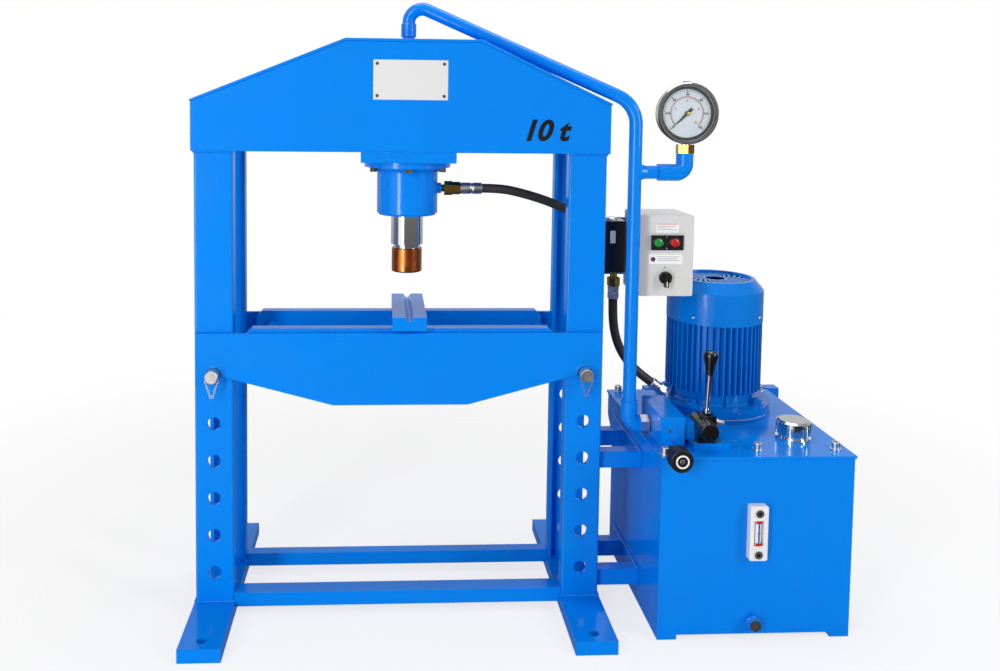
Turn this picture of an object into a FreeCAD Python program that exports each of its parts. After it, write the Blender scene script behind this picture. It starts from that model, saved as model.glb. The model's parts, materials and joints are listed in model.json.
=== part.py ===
import FreeCAD, Part
import math
import os
from FreeCAD import Vector as V

# Workshop hydraulic press: a two-post frame with a powered ram, a pinned bed and an oil tank
# with its motor on the right.  Millimetres.  +Z up, +X to the right, the front faces -Y.
# Origin: on the floor, between the uprights, at mid depth.

# ---------------------------------------------------------------- driving dimensions
# uprights: each side is a front and a rear channel with their toes facing each other
up_mid = 390.0            # from the middle plane to the middle of an upright
ch_face = 80.0            # channel width seen from the front
ch_depth = 30.0           # channel flange depth
ch_wall = 8.0             # channel wall
up_gap = 130.0            # clear depth between front and rear channel
up_top = 1070.0           # top of the channels, inside the crown
# feet
foot_len = 522.0
foot_w = 85.0
foot_h = 28.0
foot_hole_r = 10.0
foot_hole_in = 29.0       # floor bolt hole in from the foot's end
# pin holes
hole_r = 14.0
hole_z0 = 92.0
hole_pitch = 80.2
hole_n = 5
bed_pin_z = 520.0         # the hole that carries the bed
pin_clear = 0.3           # radial clearance of a support pin
pin_out = 24.0            # pin standing out of the bed's front plate
pin_tail = 6.0            # pin standing out behind
# crown
crown_half = 435.0
crown_z0 = 985.0
crown_shoulder = 1085.0
crown_top = 1213.5
crown_flat_l = 118.6
crown_flat_r = 161.3
crown_plate = 8.0
crown_cover = 6.0
plate_w = 154.0           # nameplate
plate_h = 82.0
plate_t = 1.5
plate_x = 15.0
plate_z = 1134.8
# cylinder and ram
cyl_x = 12.5
mount_half = 99.5
mount_t = 22.0
barrel_r = 66.3
barrel_up_r = 60.0        # part of the barrel above the mounting plate
bore_r = 50.0
barrel_top = 1150.0
barrel_cap = 20.0
flange_r = 94.0
flange_t = 13.0
flange_taper = 8.0
bolt_n = 6
bolt_pcd_r = 85.0
bolt_af = 15.0
bolt_head = 9.0
gland_z0 = 846.0
gland_cap = 12.0
gland_in = 30.0
ram_r = 35.0
ram_z0 = 781.0
run_fit = 0.05            # radial clearance of running fits
piston_z = 1000.0
piston_h = 32.0
neck_r = 29.0
neck_h = 8.0
nose_r = 33.0
nose_h = 53.0
nose_edge = 3.0
spigot_r = 15.0
spigot_h = 24.0
seat_gap = 0.2
# bed
bed_half = 427.0
bed_top = 606.5
bed_plate = 8.0
bed_gap = 0.3             # clearance between bed and channels
lug_z = 498.0
lug_in = 400.0
notch_x = 370.0
notch_z = 514.0
belly_x = 142.0
belly_z = 453.0
saddle_r = 15.2
rail_half = 325.0
rail_t = 28.0
rail_h = 60.0
rail_top = 615.0
rail_chamfer = 12.0
spacer_r = 15.0
spacer_x = 290.0
spacer_z = 578.0
vblock_w = 72.0
vblock_x = 17.0
vblock_y0 = -119.0
vblock_y1 = 124.0
vblock_h = 28.0
vee_w = 18.0
vee_d = 9.0
vee_slot = 3.0
# stretchers between the uprights and brackets to the tank
str_z0 = 16.0
str_h = 30.0
str_front_y0 = -95.0
str_front_y1 = -55.0
str_rear_y0 = 72.0
str_rear_y1 = 100.0
arm_h = 36.0
arm_t = 30.0
arm_front_y = -80.0       # front face of the front arm
arm_rear_y = 45.0
arm_up_z = 340.0
arm_low_z = 78.0
strip_t = 6.0
strip_h = 42.0
strip_y1 = 140.0
# tank
tank_x0 = 524.0
tank_w = 400.0
tank_y0 = -214.6
tank_y1 = 212.0
tank_step_y = 170.0
tank_step_z0 = 285.0
tank_step_z1 = 320.0
tank_z0 = 10.0
tank_z1 = 375.0
tank_wall = 4.0
cover_t = 6.0
cover_lip = 3.0
tank_foot_w = 40.0
bar_x0 = 618.0
bar_x1 = 958.0
bar_sq = 30.0
bar_z0 = 353.0
screw_head_r = 8.5
screw_head_h = 13.0
screw_socket_af = 8.0
screw_socket_d = 6.0
washer_r = 11.0
washer_t = 2.5
level_x = 722.5
level_w = 37.0
level_z0 = 171.0
level_h = 113.0
level_d = 15.0
level_win_w = 20.0
level_win_h = 52.0
drain_x = 720.0
drain_z = 37.0
drain_af = 22.0
drain_len = 20.0
fill_x = 841.0
fill_y = -114.0
fill_ring_r = 36.0
fill_neck_r = 30.0
fill_wall = 3.0
fill_ring_t = 4.0
cap_r = 35.5
cap_z0 = 393.0
cap_z1 = 421.0
cap_top = 4.0
cap_ribs = 30
cap_gap = 0.4
# motor, standing on its flange on the tank cover
mot_x = 737.0
mot_y = 85.0
mot_ring_r = 128.5
mot_ring_t = 11.0
mot_gasket = 2.0
mot_flange_r = 128.0
mot_flange_t = 18.0
mot_bolt_n = 4
mot_bolt_pcd_r = 107.5
mot_boss_r = 14.0
mot_boss_h = 4.0
mot_rib_n = 8
mot_rib_t = 6.0
mot_neck_r = 92.0
mot_fin_z0 = 440.0
mot_fin_z1 = 596.0
mot_fin_r = 107.0
mot_body_r = 94.0
mot_fin_n = 48
mot_fin_t = 3.4
cowl_r = 108.0
cowl_wall = 2.0
cowl_z1 = 668.0
cowl_top_z = 692.0
cowl_top_r = 88.0
grille_r = 80.0
grille_sink = 6.0
grille_t = 2.0
grille_hub_r = 22.0
grille_n = 22
grille_slot = 5.0
shaft_r = 12.0
rotor_r = 52.0
rotor_gap = 0.5
fan_r = 84.0
fan_hub_r = 20.0
fan_n = 8
fan_z0 = 612.0
fan_h = 40.0
pump_w = 90.0
pump_h = 110.0
pump_z1 = 280.0
bell_r = 58.0
bell_wall = 6.0
coupling_r = 26.0
coupling_h = 50.0
# pressure pipe
pipe_r = 14.0
pipe_x = 491.0
pipe_y = -88.0
pipe_crown_z = 1306.0     # corner above the crown port
pipe_corner_z = 1090.0    # corner at the top of the vertical run
pipe_bend1 = 29.0
pipe_bend2 = 65.0
pipe_low_z = 455.0
port_r = 16.5
port_z0 = 1229.0
port_z1 = 1260.0
port_neck_r = 11.0
elbow_r = 17.5
elbow_bend = 30.0
elbow_z = 405.0
union_af = 34.0
union_len = 17.0
union_ring = 4.0
branch_z = 947.0
branch_r = 14.0
branch_flare_r = 17.5
branch_flare_in = 11.0
branch_flare_out = 23.0
branch_collar_x = 540.0
branch_elbow_r = 18.0
branch_bend = 19.0
gauge_x = 597.0
gauge_stem_z = 988.0
gauge_nut_h = 18.0
gauge_nut_af = 33.0
gauge_lift = 1.0          # case above the nut
gauge_r = 65.0
gauge_case_r = 61.0
gauge_depth = 36.0
gauge_bezel = 9.0
gauge_lip = 7.0
gauge_back = 5.0
dial_t = 1.5
glass_t = 2.0
dial_set = 12.0           # dial behind the bezel's front
needle_len = 44.0
needle_tail = 14.0
needle_hub_r = 5.0
spindle_r = 1.5
plug_r = 8.0
plug_h = 6.0
# manifold, valve and throttle
man_x0 = 536.0
man_w = 50.0
man_y0 = -168.0
man_y1 = -31.0
man_z1 = 447.0
thr_x = 551.0
thr_z = 389.5
thr_hex_af = 16.0
thr_hex_len = 22.0
thr_stem_r = 6.0
thr_knob_r = 22.5
thr_knob_len = 30.0
thr_knob_y = -245.0
thr_edge = 2.0
thr_collar_r = 19.0
thr_collar_len = 8.0
thr_ring_r = 13.5
thr_ring_w = 3.0
thr_screw_r = 5.0
thr_proud = 1.0
sub_x0 = 600.0
sub_x1 = 676.0
sub_y0 = -187.0
sub_y1 = -118.0
sub_t = 16.0
link_x1 = 610.0           # block between the manifold and the valve
link_y0 = -160.0
link_y1 = -126.0
link_z1 = 432.0
val_x = 628.0
val_z = 424.0
val_r = 20.0
val_y0 = -183.0
val_y1 = -124.0
val_foot_half = 18.0
val_boss_x1 = 652.0       # boss of the lever, on the right of the body
val_boss_y0 = -170.0
val_boss_y1 = -130.0
val_boss_z0 = 405.0
val_z1 = 447.0
val_cap_r = 18.5
val_cap_len = 18.0
val_recess_r = 5.0
val_hex_af = 15.0
val_hex_len = 10.0
val_nip_r = 5.5
val_nip_len = 13.0
val_fit_z = 428.0
lev_x = 637.0
lev_y = -150.0
lev_z = 435.0             # hinge axis of the lever
lev_pin_r = 3.0
lev_rod_r = 4.5
lev_slot_w = 11.0
lev_slot_l = 34.0
lev_slot_d = 26.0
lev_collar_r = 8.5
lev_collar_z = 451.5
lev_collar_h = 6.0
lev_lean = 2.5             # degrees
knob_z0 = 530.0
knob_z1 = 581.0
knob_r1 = 8.5             # the knob's foot; the head is 1.765 times as wide
# black distribution block on the side bracket, with its fittings
blk_x0 = 448.0
blk_w = 54.0
blk_y0 = 6.0
blk_z0 = 715.0
blk_h = 116.0
side_y = 66.0             # front face of the side bracket
side_t = 6.0
side_x1 = 600.0
side_z0 = 700.0
side_z1 = 832.0
dome_r = 13.0
dome_h = 6.0
low_x = 480.0
low_y = 24.0
low_neck_r = 8.0
low_neck_h = 14.0
low_nut_af = 26.0
low_nut_h = 18.0
ferrule_r = 12.5
ferrule_len = 48.0
ferrule_low_len = 30.0
ferrule_end_len = 24.0
side_port_z = 903.0
boss_r = 11.5
boss_len = 7.5
port_neck_len = 7.0
nut_neck_r = 8.0
nut_len = 17.5
nut_af = 27.0
nut_step_af = 24.0
adaptor_nut_len = 17.0
adaptor_r = 9.0
return_r = 9.0
return_bend = 11.0
return_nut = 12.0
return_hex_af = 22.0
return_hex_h = 12.0
hose_r = 10.0
# control box
ctl_x0 = 514.0
ctl_x1 = 632.0
ctl_y0 = -60.0
ctl_z0 = 676.0
ctl_z1 = 852.0
ctl_round = 4.0
pan_x0 = 538.0
pan_x1 = 608.0
pan_z0 = 777.0
pan_z1 = 809.0
pan_t = 5.0
btn_x_green = 553.0
btn_x_red = 589.0
btn_z = 793.5
btn_r = 9.0
btn_out = 9.0
btn_dome = 3.0
btn_in = 6.0
btn_gap = 0.3
sel_x = 570.0
sel_z = 717.0
sel_disc_r = 17.0
sel_disc_t = 2.0
sel_r = 13.5
sel_t = 8.0
sel_bar_w = 8.0
sel_bar_t = 8.0
sel_bar_low = 19.0        # the pointer's lower end, below the axis
sel_bar_high = 12.0
# chain on each support pin
link_wire = 1.0
link_long = 7.0
link_wide = 3.2
chain_hook_x = 13.0       # half the width of the loop at the pin
chain_drop = 43.0         # the loop's lowest point below the pin's axis
chain_back = 6.0          # chain plane behind the pin's front face

# ---------------------------------------------------------------- places that follow
ch_out = up_gap / 2 + ch_depth                  # front face of the front channels
crown_out = ch_out + crown_plate
mount_z0 = crown_z0 - mount_t
barrel_z0 = gland_z0 + gland_cap
nose_z0 = ram_z0 - neck_h - nose_h
bed_in = ch_out + bed_gap
bed_out = bed_in + bed_plate
pin_r = hole_r - pin_clear
pin_y0 = -(bed_out + pin_out)
pin_y1 = bed_out + pin_tail
saddle_z = bed_pin_z + pin_r + pin_clear - saddle_r
cover_z1 = tank_z1 + cover_t
tank_x1 = tank_x0 + tank_w
blk_x1 = blk_x0 + blk_w
blk_z1 = blk_z0 + blk_h
mot_flange_z = cover_z1 + mot_ring_t + mot_gasket
mot_flange_z1 = mot_flange_z + mot_flange_t
grille_z = cowl_top_z - grille_sink
man_x1 = man_x0 + man_w
gauge_front = pipe_y - gauge_depth / 2
gauge_z = gauge_stem_z + gauge_nut_h + gauge_lift + gauge_r
XA, YA, ZA = V(1, 0, 0), V(0, 1, 0), V(0, 0, 1)


# ---------------------------------------------------------------- helpers
def box(x0, x1, y0, y1, z0, z1):
    return Part.makeBox(x1 - x0, y1 - y0, z1 - z0, V(x0, y0, z0))


def rod(r, length, p, d=ZA):
    return Part.makeCylinder(r, length, V(*p), d)


def polygon(points):
    return Part.Face(Part.makePolygon(points + [points[0]]))


def profile_xz(points, y0, y1):
    return polygon([V(x, y0, z) for x, z in points]).extrude(V(0, y1 - y0, 0))


def profile_yz(points, x0, x1):
    return polygon([V(x0, y, z) for y, z in points]).extrude(V(x1 - x0, 0, 0))


def hexagon(af, length, p, d=ZA, turn=0.0):
    side = XA if abs(d.x) < 0.9 else YA
    u = side.cross(d)
    u.normalize()
    w = d.cross(u)
    r = af / math.sqrt(3.0)
    pts = []
    for i in range(6):
        a = math.radians(60.0 * i + turn)
        pts.append(V(*p) + u * (r * math.cos(a)) + w * (r * math.sin(a)))
    return polygon(pts).extrude(d * length)


def lathe(points, p, d=ZA):
    # points are (radius, height) along d from p
    u = XA if abs(d.z) > 0.5 else ZA
    pts = [V(*p) + u * r + d * h for r, h in points]
    return polygon(pts).revolve(V(*p), d, 360)


def join(shapes):
    out = shapes[0].multiFuse(shapes[1:]) if len(shapes) > 1 else shapes[0]
    return out.removeSplitter()


def group(shapes):
    return Part.makeCompound(shapes)


def at(shape, x, y, z):
    out = shape.copy()
    out.translate(V(x, y, z))
    return out


def bent_path(points, radii):
    # straight runs joined by tangent arcs; radii holds one radius for each inner point
    edges = []
    start = points[0]
    for i in range(1, len(points) - 1):
        a = (points[i - 1] - points[i]).normalize()
        b = (points[i + 1] - points[i]).normalize()
        half = a.getAngle(b) / 2
        reach = radii[i - 1] / math.tan(half)
        p0 = points[i] + a * reach
        p1 = points[i] + b * reach
        mid_dir = (a + b).normalize()
        middle = points[i] + mid_dir * (radii[i - 1] / math.sin(half) - radii[i - 1])
        if (p0 - start).Length > 1e-6:
            edges.append(Part.LineSegment(start, p0).toShape())
        edges.append(Part.Arc(p0, middle, p1).toShape())
        start = p1
    if (points[-1] - start).Length > 1e-6:
        edges.append(Part.LineSegment(start, points[-1]).toShape())
    return Part.Wire(edges)


def tube_along(points, radii, r):
    path = bent_path(points, radii)
    d = points[1] - points[0]
    ring = Part.Wire(Part.makeCircle(r, points[0], d))
    return path.makePipeShell([ring], True, False), path.Length


def cord_tube(name, points, r):
    radii = []
    for i in range(1, len(points) - 1):
        a = points[i] - points[i - 1]
        b = points[i + 1] - points[i]
        turn = a.getAngle(b)
        radii.append(0.45 * min(a.Length, b.Length) / math.tan(turn / 2))
    solid, length = tube_along(points, radii, r)
    section = math.pi * r * r * length
    print(name, "length", round(length, 1), "radii", [round(q) for q in radii],
          "volume ratio", round(solid.Volume / section, 4))
    return solid


saved = {}


def save(name, shape):
    saved[name] = shape
    shape.exportStep("parts/" + name + ".step")


os.makedirs("parts", exist_ok=True)


# ---------------------------------------------------------------- frame
def channel(front):
    # one channel at x = 0, web outward, flanges towards mid depth
    s = -1.0 if front else 1.0
    ys = sorted((s * ch_out, s * (ch_out - ch_depth)))
    out = box(-ch_face / 2, ch_face / 2, ys[0], ys[1], foot_h, up_top)
    corner = [e for e in out.Edges if abs(e.Vertexes[0].Y - s * ch_out) < 0.01
              and abs(e.Vertexes[0].X - e.Vertexes[1].X) < 0.01
              and abs(e.Vertexes[0].Z - e.Vertexes[1].Z) > 1.0
              and abs(e.Vertexes[1].Y - s * ch_out) < 0.01]
    out = out.makeFillet(ch_wall * 0.6, corner)
    ys = sorted((s * (ch_out - ch_wall), s * (ch_out - ch_depth - 1)))
    out = out.cut(box(-ch_face / 2 + ch_wall, ch_face / 2 - ch_wall, ys[0], ys[1], foot_h - 1, up_top + 1))
    ys = sorted((s * (ch_out + 1), s * (ch_out - ch_wall - 1)))
    for z in [hole_z0 + hole_pitch * i for i in range(hole_n)] + [bed_pin_z]:
        out = out.cut(rod(hole_r, ys[1] - ys[0], (0, ys[0], z), YA))
    return out


front_channel, rear_channel = channel(True), channel(False)
for side, s in (("left", -1), ("right", 1)):
    save("upright_" + side, group([at(c, s * up_mid, 0, 0) for c in (front_channel, rear_channel)]))


def foot():
    out = box(-foot_w / 2, foot_w / 2, -foot_len / 2, foot_len / 2, 0, foot_h)
    for y in (-1, 1):
        out = out.cut(rod(foot_hole_r, foot_h + 2, (0, y * (foot_len / 2 - foot_hole_in), -1)))
    return out


save("feet", group([at(foot(), s * up_mid, 0, 0) for s in (-1, 1)]))

str_in = up_mid - foot_w / 2                     # stretchers end on the feet's inner faces
str_up = up_mid - ch_face / 2                    # above the feet they end on the channels


def stretcher(y0, y1):
    low = box(-str_in, str_in, y0, y1, str_z0, foot_h)
    high = box(-str_up, str_up, y0, y1, foot_h, str_z0 + str_h)
    return join([low, high])


save("stretchers", group([stretcher(str_front_y0, str_front_y1), stretcher(str_rear_y0, str_rear_y1)]))

crown_pts = [(-crown_half, crown_z0), (crown_half, crown_z0), (crown_half, crown_shoulder),
             (crown_flat_r, crown_top), (-crown_flat_l, crown_top), (-crown_half, crown_shoulder)]
save("crown_front_plate", profile_xz(crown_pts, -crown_out, -ch_out))
save("crown_rear_plate", profile_xz(crown_pts, ch_out, crown_out))


def folded_strip():
    # follows the plates' top edges with a constant thickness
    line = [V(x, 0, z) for x, z in crown_pts[2:]]
    outer = []
    for i, p in enumerate(line):
        normals = []
        for q, w in ((i - 1, i), (i, i + 1)):
            if q >= 0 and w < len(line):
                d = (line[w] - line[q]).normalize()
                normals.append(V(d.z, 0, -d.x))
        n = normals[0]
        if len(normals) == 2:
            n = (normals[0] + normals[1]).normalize()
            n = n * (1.0 / n.dot(normals[0]))
        outer.append(p + n * crown_cover)
    pts = [(p.x, p.z) for p in line] + [(p.x, p.z) for p in reversed(outer)]
    out = profile_xz(pts, -crown_out, crown_out)
    return out.cut(rod(port_r + pin_clear, 60, (cyl_x, 0, crown_top - 30)))


save("crown_cover", folded_strip())
save("nameplate", box(plate_x - plate_w / 2, plate_x + plate_w / 2, -crown_out - plate_t, -crown_out,
                      plate_z - plate_h / 2, plate_z + plate_h / 2))


# ---------------------------------------------------------------- cylinder
def mount_plate():
    out = box(cyl_x - mount_half, cyl_x + mount_half, -crown_out, crown_out, mount_z0, crown_z0)
    return out.cut(rod(barrel_up_r + seat_gap, mount_t + 2, (cyl_x, 0, mount_z0 - 1)))


def barrel():
    top = barrel_top
    pts = [(bore_r, barrel_z0), (barrel_r, barrel_z0), (barrel_r, mount_z0 - flange_t - flange_taper),
           (barrel_r + flange_taper, mount_z0 - flange_t), (flange_r, mount_z0 - flange_t),
           (flange_r, mount_z0), (barrel_up_r, mount_z0), (barrel_up_r, top), (port_neck_r, top),
           (port_neck_r, top - barrel_cap), (bore_r, top - barrel_cap)]
    out = lathe(pts, (cyl_x, 0, 0))
    boss = rod(boss_r, barrel_r - bore_r + boss_len - 4, (cyl_x + bore_r + 4, 0, side_port_z), XA)
    out = join([out, boss])
    for i in range(bolt_n):
        a = math.radians(360.0 / bolt_n * (i + 0.5))
        out = out.cut(rod(bolt_af * 0.3, flange_t + 2, (cyl_x + bolt_pcd_r * math.cos(a),
                                                     bolt_pcd_r * math.sin(a), mount_z0 - flange_t - 1)))
    return out


def bolt_ring():
    out = []
    for i in range(bolt_n):
        a = math.radians(360.0 / bolt_n * (i + 0.5))
        p = (cyl_x + bolt_pcd_r * math.cos(a), bolt_pcd_r * math.sin(a))
        head = hexagon(bolt_af, bolt_head, (p[0], p[1], mount_z0 - flange_t - bolt_head))
        shank = rod(bolt_af * 0.3 - seat_gap, flange_t, (p[0], p[1], mount_z0 - flange_t))
        out.append(join([head, shank]))
    return group(out)


def gland():
    pts = [(ram_r + run_fit, gland_z0), (barrel_r - 5, gland_z0), (barrel_r, gland_z0 + 5),
           (barrel_r, barrel_z0), (bore_r, barrel_z0), (bore_r, barrel_z0 + gland_in),
           (ram_r + run_fit, barrel_z0 + gland_in)]
    return lathe(pts, (cyl_x, 0, 0))


def ram():
    top = piston_z + piston_h
    groove = piston_h / 3
    pts = [(0, ram_z0 - neck_h - spigot_h), (spigot_r, ram_z0 - neck_h - spigot_h),
           (spigot_r, ram_z0 - neck_h), (neck_r, ram_z0 - neck_h), (neck_r, ram_z0), (ram_r, ram_z0),
           (ram_r, piston_z), (bore_r - run_fit, piston_z), (bore_r - run_fit, piston_z + groove),
           (bore_r - 4, piston_z + groove), (bore_r - 4, top - groove), (bore_r - run_fit, top - groove),
           (bore_r - run_fit, top), (0, top)]
    return lathe(pts, (cyl_x, 0, 0))


def nose():
    e, z1 = nose_edge, nose_z0 + nose_h
    out = lathe([(0, nose_z0), (nose_r - e, nose_z0), (nose_r - e * 0.3, nose_z0 + e * 0.3),
                 (nose_r, nose_z0 + e), (nose_r, z1 - 1.5), (nose_r - 1.5, z1), (0, z1)], (cyl_x, 0, 0))
    return out.cut(rod(spigot_r + seat_gap, spigot_h + seat_gap, (cyl_x, 0, nose_z0 + nose_h - spigot_h - seat_gap)))


save("cylinder_mount_plate", mount_plate())
save("cylinder_barrel", barrel())
save("cylinder_bolts", bolt_ring())
save("cylinder_gland", gland())
save("ram", ram())
save("ram_nose", nose())


# ---------------------------------------------------------------- bed
def bed_plate_shape(y0, y1):
    pts = [(bed_half, bed_top), (-bed_half, bed_top), (-bed_half, lug_z), (-lug_in, lug_z),
           (-notch_x, notch_z), (-belly_x, belly_z), (belly_x, belly_z), (notch_x, notch_z),
           (lug_in, lug_z), (bed_half, lug_z)]
    out = profile_xz(pts, y0, y1)
    for s in (-1, 1):
        x = s * up_mid
        out = out.cut(rod(saddle_r, y1 - y0 + 2, (x, y0 - 1, saddle_z), YA))
        out = out.cut(box(x - saddle_r, x + saddle_r, y0 - 1, y1 + 1, lug_z - 1, saddle_z))
    return out


def rail(y0, y1):
    z0 = rail_top - rail_h
    pts = [(-rail_half, z0), (rail_half, z0), (rail_half, rail_top - rail_chamfer),
           (rail_half - rail_chamfer, rail_top), (-rail_half + rail_chamfer, rail_top),
           (-rail_half, rail_top - rail_chamfer)]
    return profile_xz(pts, y0, y1)


def vblock():
    z0, z1 = rail_top, rail_top + vblock_h
    pts = [(-vblock_w / 2, z0), (vblock_w / 2, z0), (vblock_w / 2, z1), (vee_w / 2, z1),
           (vee_slot / 2, z1 - vee_d), (-vee_slot / 2, z1 - vee_d), (-vee_w / 2, z1), (-vblock_w / 2, z1)]
    return at(profile_xz(pts, vblock_y0, vblock_y1), vblock_x, 0, 0)


save("bed_front_plate", bed_plate_shape(-bed_out, -bed_in))
save("bed_rear_plate", bed_plate_shape(bed_in, bed_out))
rail_in = bed_in - rail_t
save("bed_rails", group([rail(-bed_in, -rail_in), rail(rail_in, bed_in)]))
save("bed_spacers", group([rod(spacer_r, 2 * rail_in, (s * spacer_x, -rail_in, spacer_z), YA) for s in (-1, 1)]))
save("v_block", vblock())


# ---------------------------------------------------------------- support pins and their chains
def support_pin(x):
    out = rod(pin_r, pin_y1 - pin_y0, (x, pin_y0, bed_pin_z), YA)
    return out.makeChamfer(1.2, [e for e in out.Edges if len(e.Vertexes) == 1])


def chain_link(p, d, across):
    # an eight-sided oval ring along d, flat in the plane of d and across
    n = d.cross(across).normalize()

    def oval(grow):
        a, w = link_long / 2 + grow, link_wide / 2 + grow
        b = a - w * 0.6
        corners = [(b, w), (a, w * 0.4), (a, -w * 0.4), (b, -w), (-b, -w), (-a, -w * 0.4), (-a, w * 0.4), (-b, w)]
        start = p - n * (link_wire / 2)
        return polygon([start + d * u + across * v for u, v in corners]).extrude(n * link_wire)
    return oval(link_wire / 2).cut(oval(-link_wire / 2))


def chain(x):
    # two arms that hang from the sides of the pin and meet below it
    y = pin_y0 + chain_back
    top = bed_pin_z - math.sqrt(pin_r ** 2 - chain_hook_x ** 2) - link_long * 0.5
    low = bed_pin_z - chain_drop
    out = []
    for s in (-1, 1):
        a, b = V(x + s * chain_hook_x, y, top), V(x + s * link_wide * 0.6, y, low)
        run = b - a
        n = max(3, int(round(run.Length / (link_long - 1.6))))
        d = V(run).normalize()
        side = YA.cross(d)
        for i in range(n):
            p = a + run * ((i + 0.5) / n)
            across = (YA * (1 if i % 2 else 0) + side * (0 if i % 2 else 1)).normalize()
            out.append(chain_link(p, d, across))
    return out


for side, s in (("left", -1), ("right", 1)):
    save("support_pin_" + side, group([support_pin(s * up_mid)] + chain(s * up_mid)))


# ---------------------------------------------------------------- tank and its brackets
def tank_bracket(z1):
    x0, x1 = up_mid + ch_face / 2, tank_x0 - strip_t
    arms = [box(x0, x1, y, y + arm_t, z1 - arm_h, z1) for y in (arm_front_y, arm_rear_y)]
    strip = box(x1, tank_x0, arm_front_y, strip_y1, z1 - arm_h / 2 - strip_h / 2, z1 - arm_h / 2 + strip_h / 2)
    return join(arms + [strip])


save("tank_brackets", group([tank_bracket(arm_up_z), tank_bracket(arm_low_z)]))


def tank_shell():
    def side(inset, top):
        return [(tank_y0 + inset, tank_z0 + inset), (tank_step_y - inset, tank_z0 + inset),
                (tank_step_y - inset, tank_step_z0), (tank_y1 - inset, tank_step_z1), (tank_y1 - inset, top),
                (tank_y0 + inset, top)]
    out = profile_yz(side(0, tank_z1), tank_x0, tank_x1)
    out = out.cut(profile_yz(side(tank_wall, tank_z1 + 1), tank_x0 + tank_wall, tank_x1 - tank_wall))
    out = out.cut(rod(drain_af * 0.3, tank_wall + 2, (drain_x, tank_y0 - 1, drain_z), YA))
    pads = [box(x, x + tank_foot_w, tank_y0, tank_step_y, 0, tank_z0)
            for x in (tank_x0, tank_x1 - tank_foot_w)]
    bar = box(bar_x0, bar_x1, tank_y1, tank_y1 + bar_sq, bar_z0, bar_z0 + bar_sq)
    bar = bar.cut(box(tank_x0 - cover_lip, tank_x1 + cover_lip, tank_y1 - 1, tank_y1 + cover_lip,
                      tank_z1, cover_z1 + 10))
    return join([out, bar] + pads)


save("tank_shell", tank_shell())


def tank_cover():
    out = box(tank_x0 - cover_lip, tank_x1 + cover_lip, tank_y0 - cover_lip, tank_y1 + cover_lip,
              tank_z1, cover_z1)
    out = out.cut(rod(fill_neck_r - fill_wall, cover_t + 2, (fill_x, fill_y, tank_z1 - 1)))
    out = out.cut(rod(bell_r, cover_t + 2, (mot_x, mot_y, tank_z1 - 1)))
    return out


save("tank_cover", tank_cover())


def tank_fasteners():
    plug = [rod(drain_af * 0.3 - seat_gap, tank_wall, (drain_x, tank_y0, drain_z), YA),
            rod(drain_af * 0.62, 4, (drain_x, tank_y0 - 4, drain_z), YA),
            hexagon(drain_af, drain_len - 4, (drain_x, tank_y0 - drain_len, drain_z), YA)]
    out = [join(plug)]
    for x, y in ((545, 198), (903, 198), (535, -200), (736, -180), (900, -180)):
        z = cover_z1 + washer_t
        top = z + screw_head_h
        screw = lathe([(0, cover_z1), (washer_r, cover_z1), (washer_r, z), (screw_head_r, z),
                       (screw_head_r, top - 1.2), (screw_head_r - 1.2, top), (0, top)], (x, y, 0))
        out.append(screw.cut(hexagon(screw_socket_af, screw_socket_d + 1, (x, y, top - screw_socket_d))))
    return group(out)


def level_gauge():
    z1 = level_z0 + level_h
    out = box(level_x - level_w / 2, level_x + level_w / 2, tank_y0 - level_d, tank_y0, level_z0, z1)
    out = out.makeFillet(4.0, [e for e in out.Edges if abs(e.Vertexes[0].Y - e.Vertexes[-1].Y) > 1])
    mid = level_z0 + level_h / 2
    out = out.cut(box(level_x - level_win_w / 2, level_x + level_win_w / 2, tank_y0 - level_d - 1,
                      tank_y0 - level_d * 0.4, mid - level_win_h / 2, mid + level_win_h / 2))
    tube = rod(level_win_w * 0.3, level_win_h, (level_x, tank_y0 - level_d * 0.4 - level_win_w * 0.15,
                                                mid - level_win_h / 2))
    return join([out, tube])


save("level_gauge", level_gauge())
save("tank_fasteners", tank_fasteners())


def filler_neck():
    z = cover_z1
    ri = fill_neck_r - fill_wall
    top = cap_z1 - cap_top - pin_clear
    pts = [(ri, z), (fill_ring_r, z), (fill_ring_r, z + fill_ring_t), (fill_neck_r, z + fill_ring_t),
           (fill_neck_r, top), (ri, top)]
    return lathe(pts, (fill_x, fill_y, 0))


def filler_cap():
    pts = []
    n = cap_ribs
    for i in range(n):
        for r, q in ((cap_r, -0.3), (cap_r, 0.3), (cap_r - 1.6, 0.42), (cap_r - 1.6, 0.58)):
            a = math.radians(360.0 / n * (i + q))
            pts.append(V(fill_x + r * math.cos(a), fill_y + r * math.sin(a), cap_z0))
    out = polygon(pts).extrude(V(0, 0, cap_z1 - cap_z0 - 3))
    top = Part.makeCone(cap_r - 1.6, cap_r - 6, 3, V(fill_x, fill_y, cap_z1 - 3))
    out = join([out, top])
    return out.cut(rod(fill_neck_r + cap_gap, cap_z1 - cap_top - cap_z0, (fill_x, fill_y, cap_z0)))


save("filler_neck", filler_neck())
save("filler_cap", filler_cap())


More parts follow.
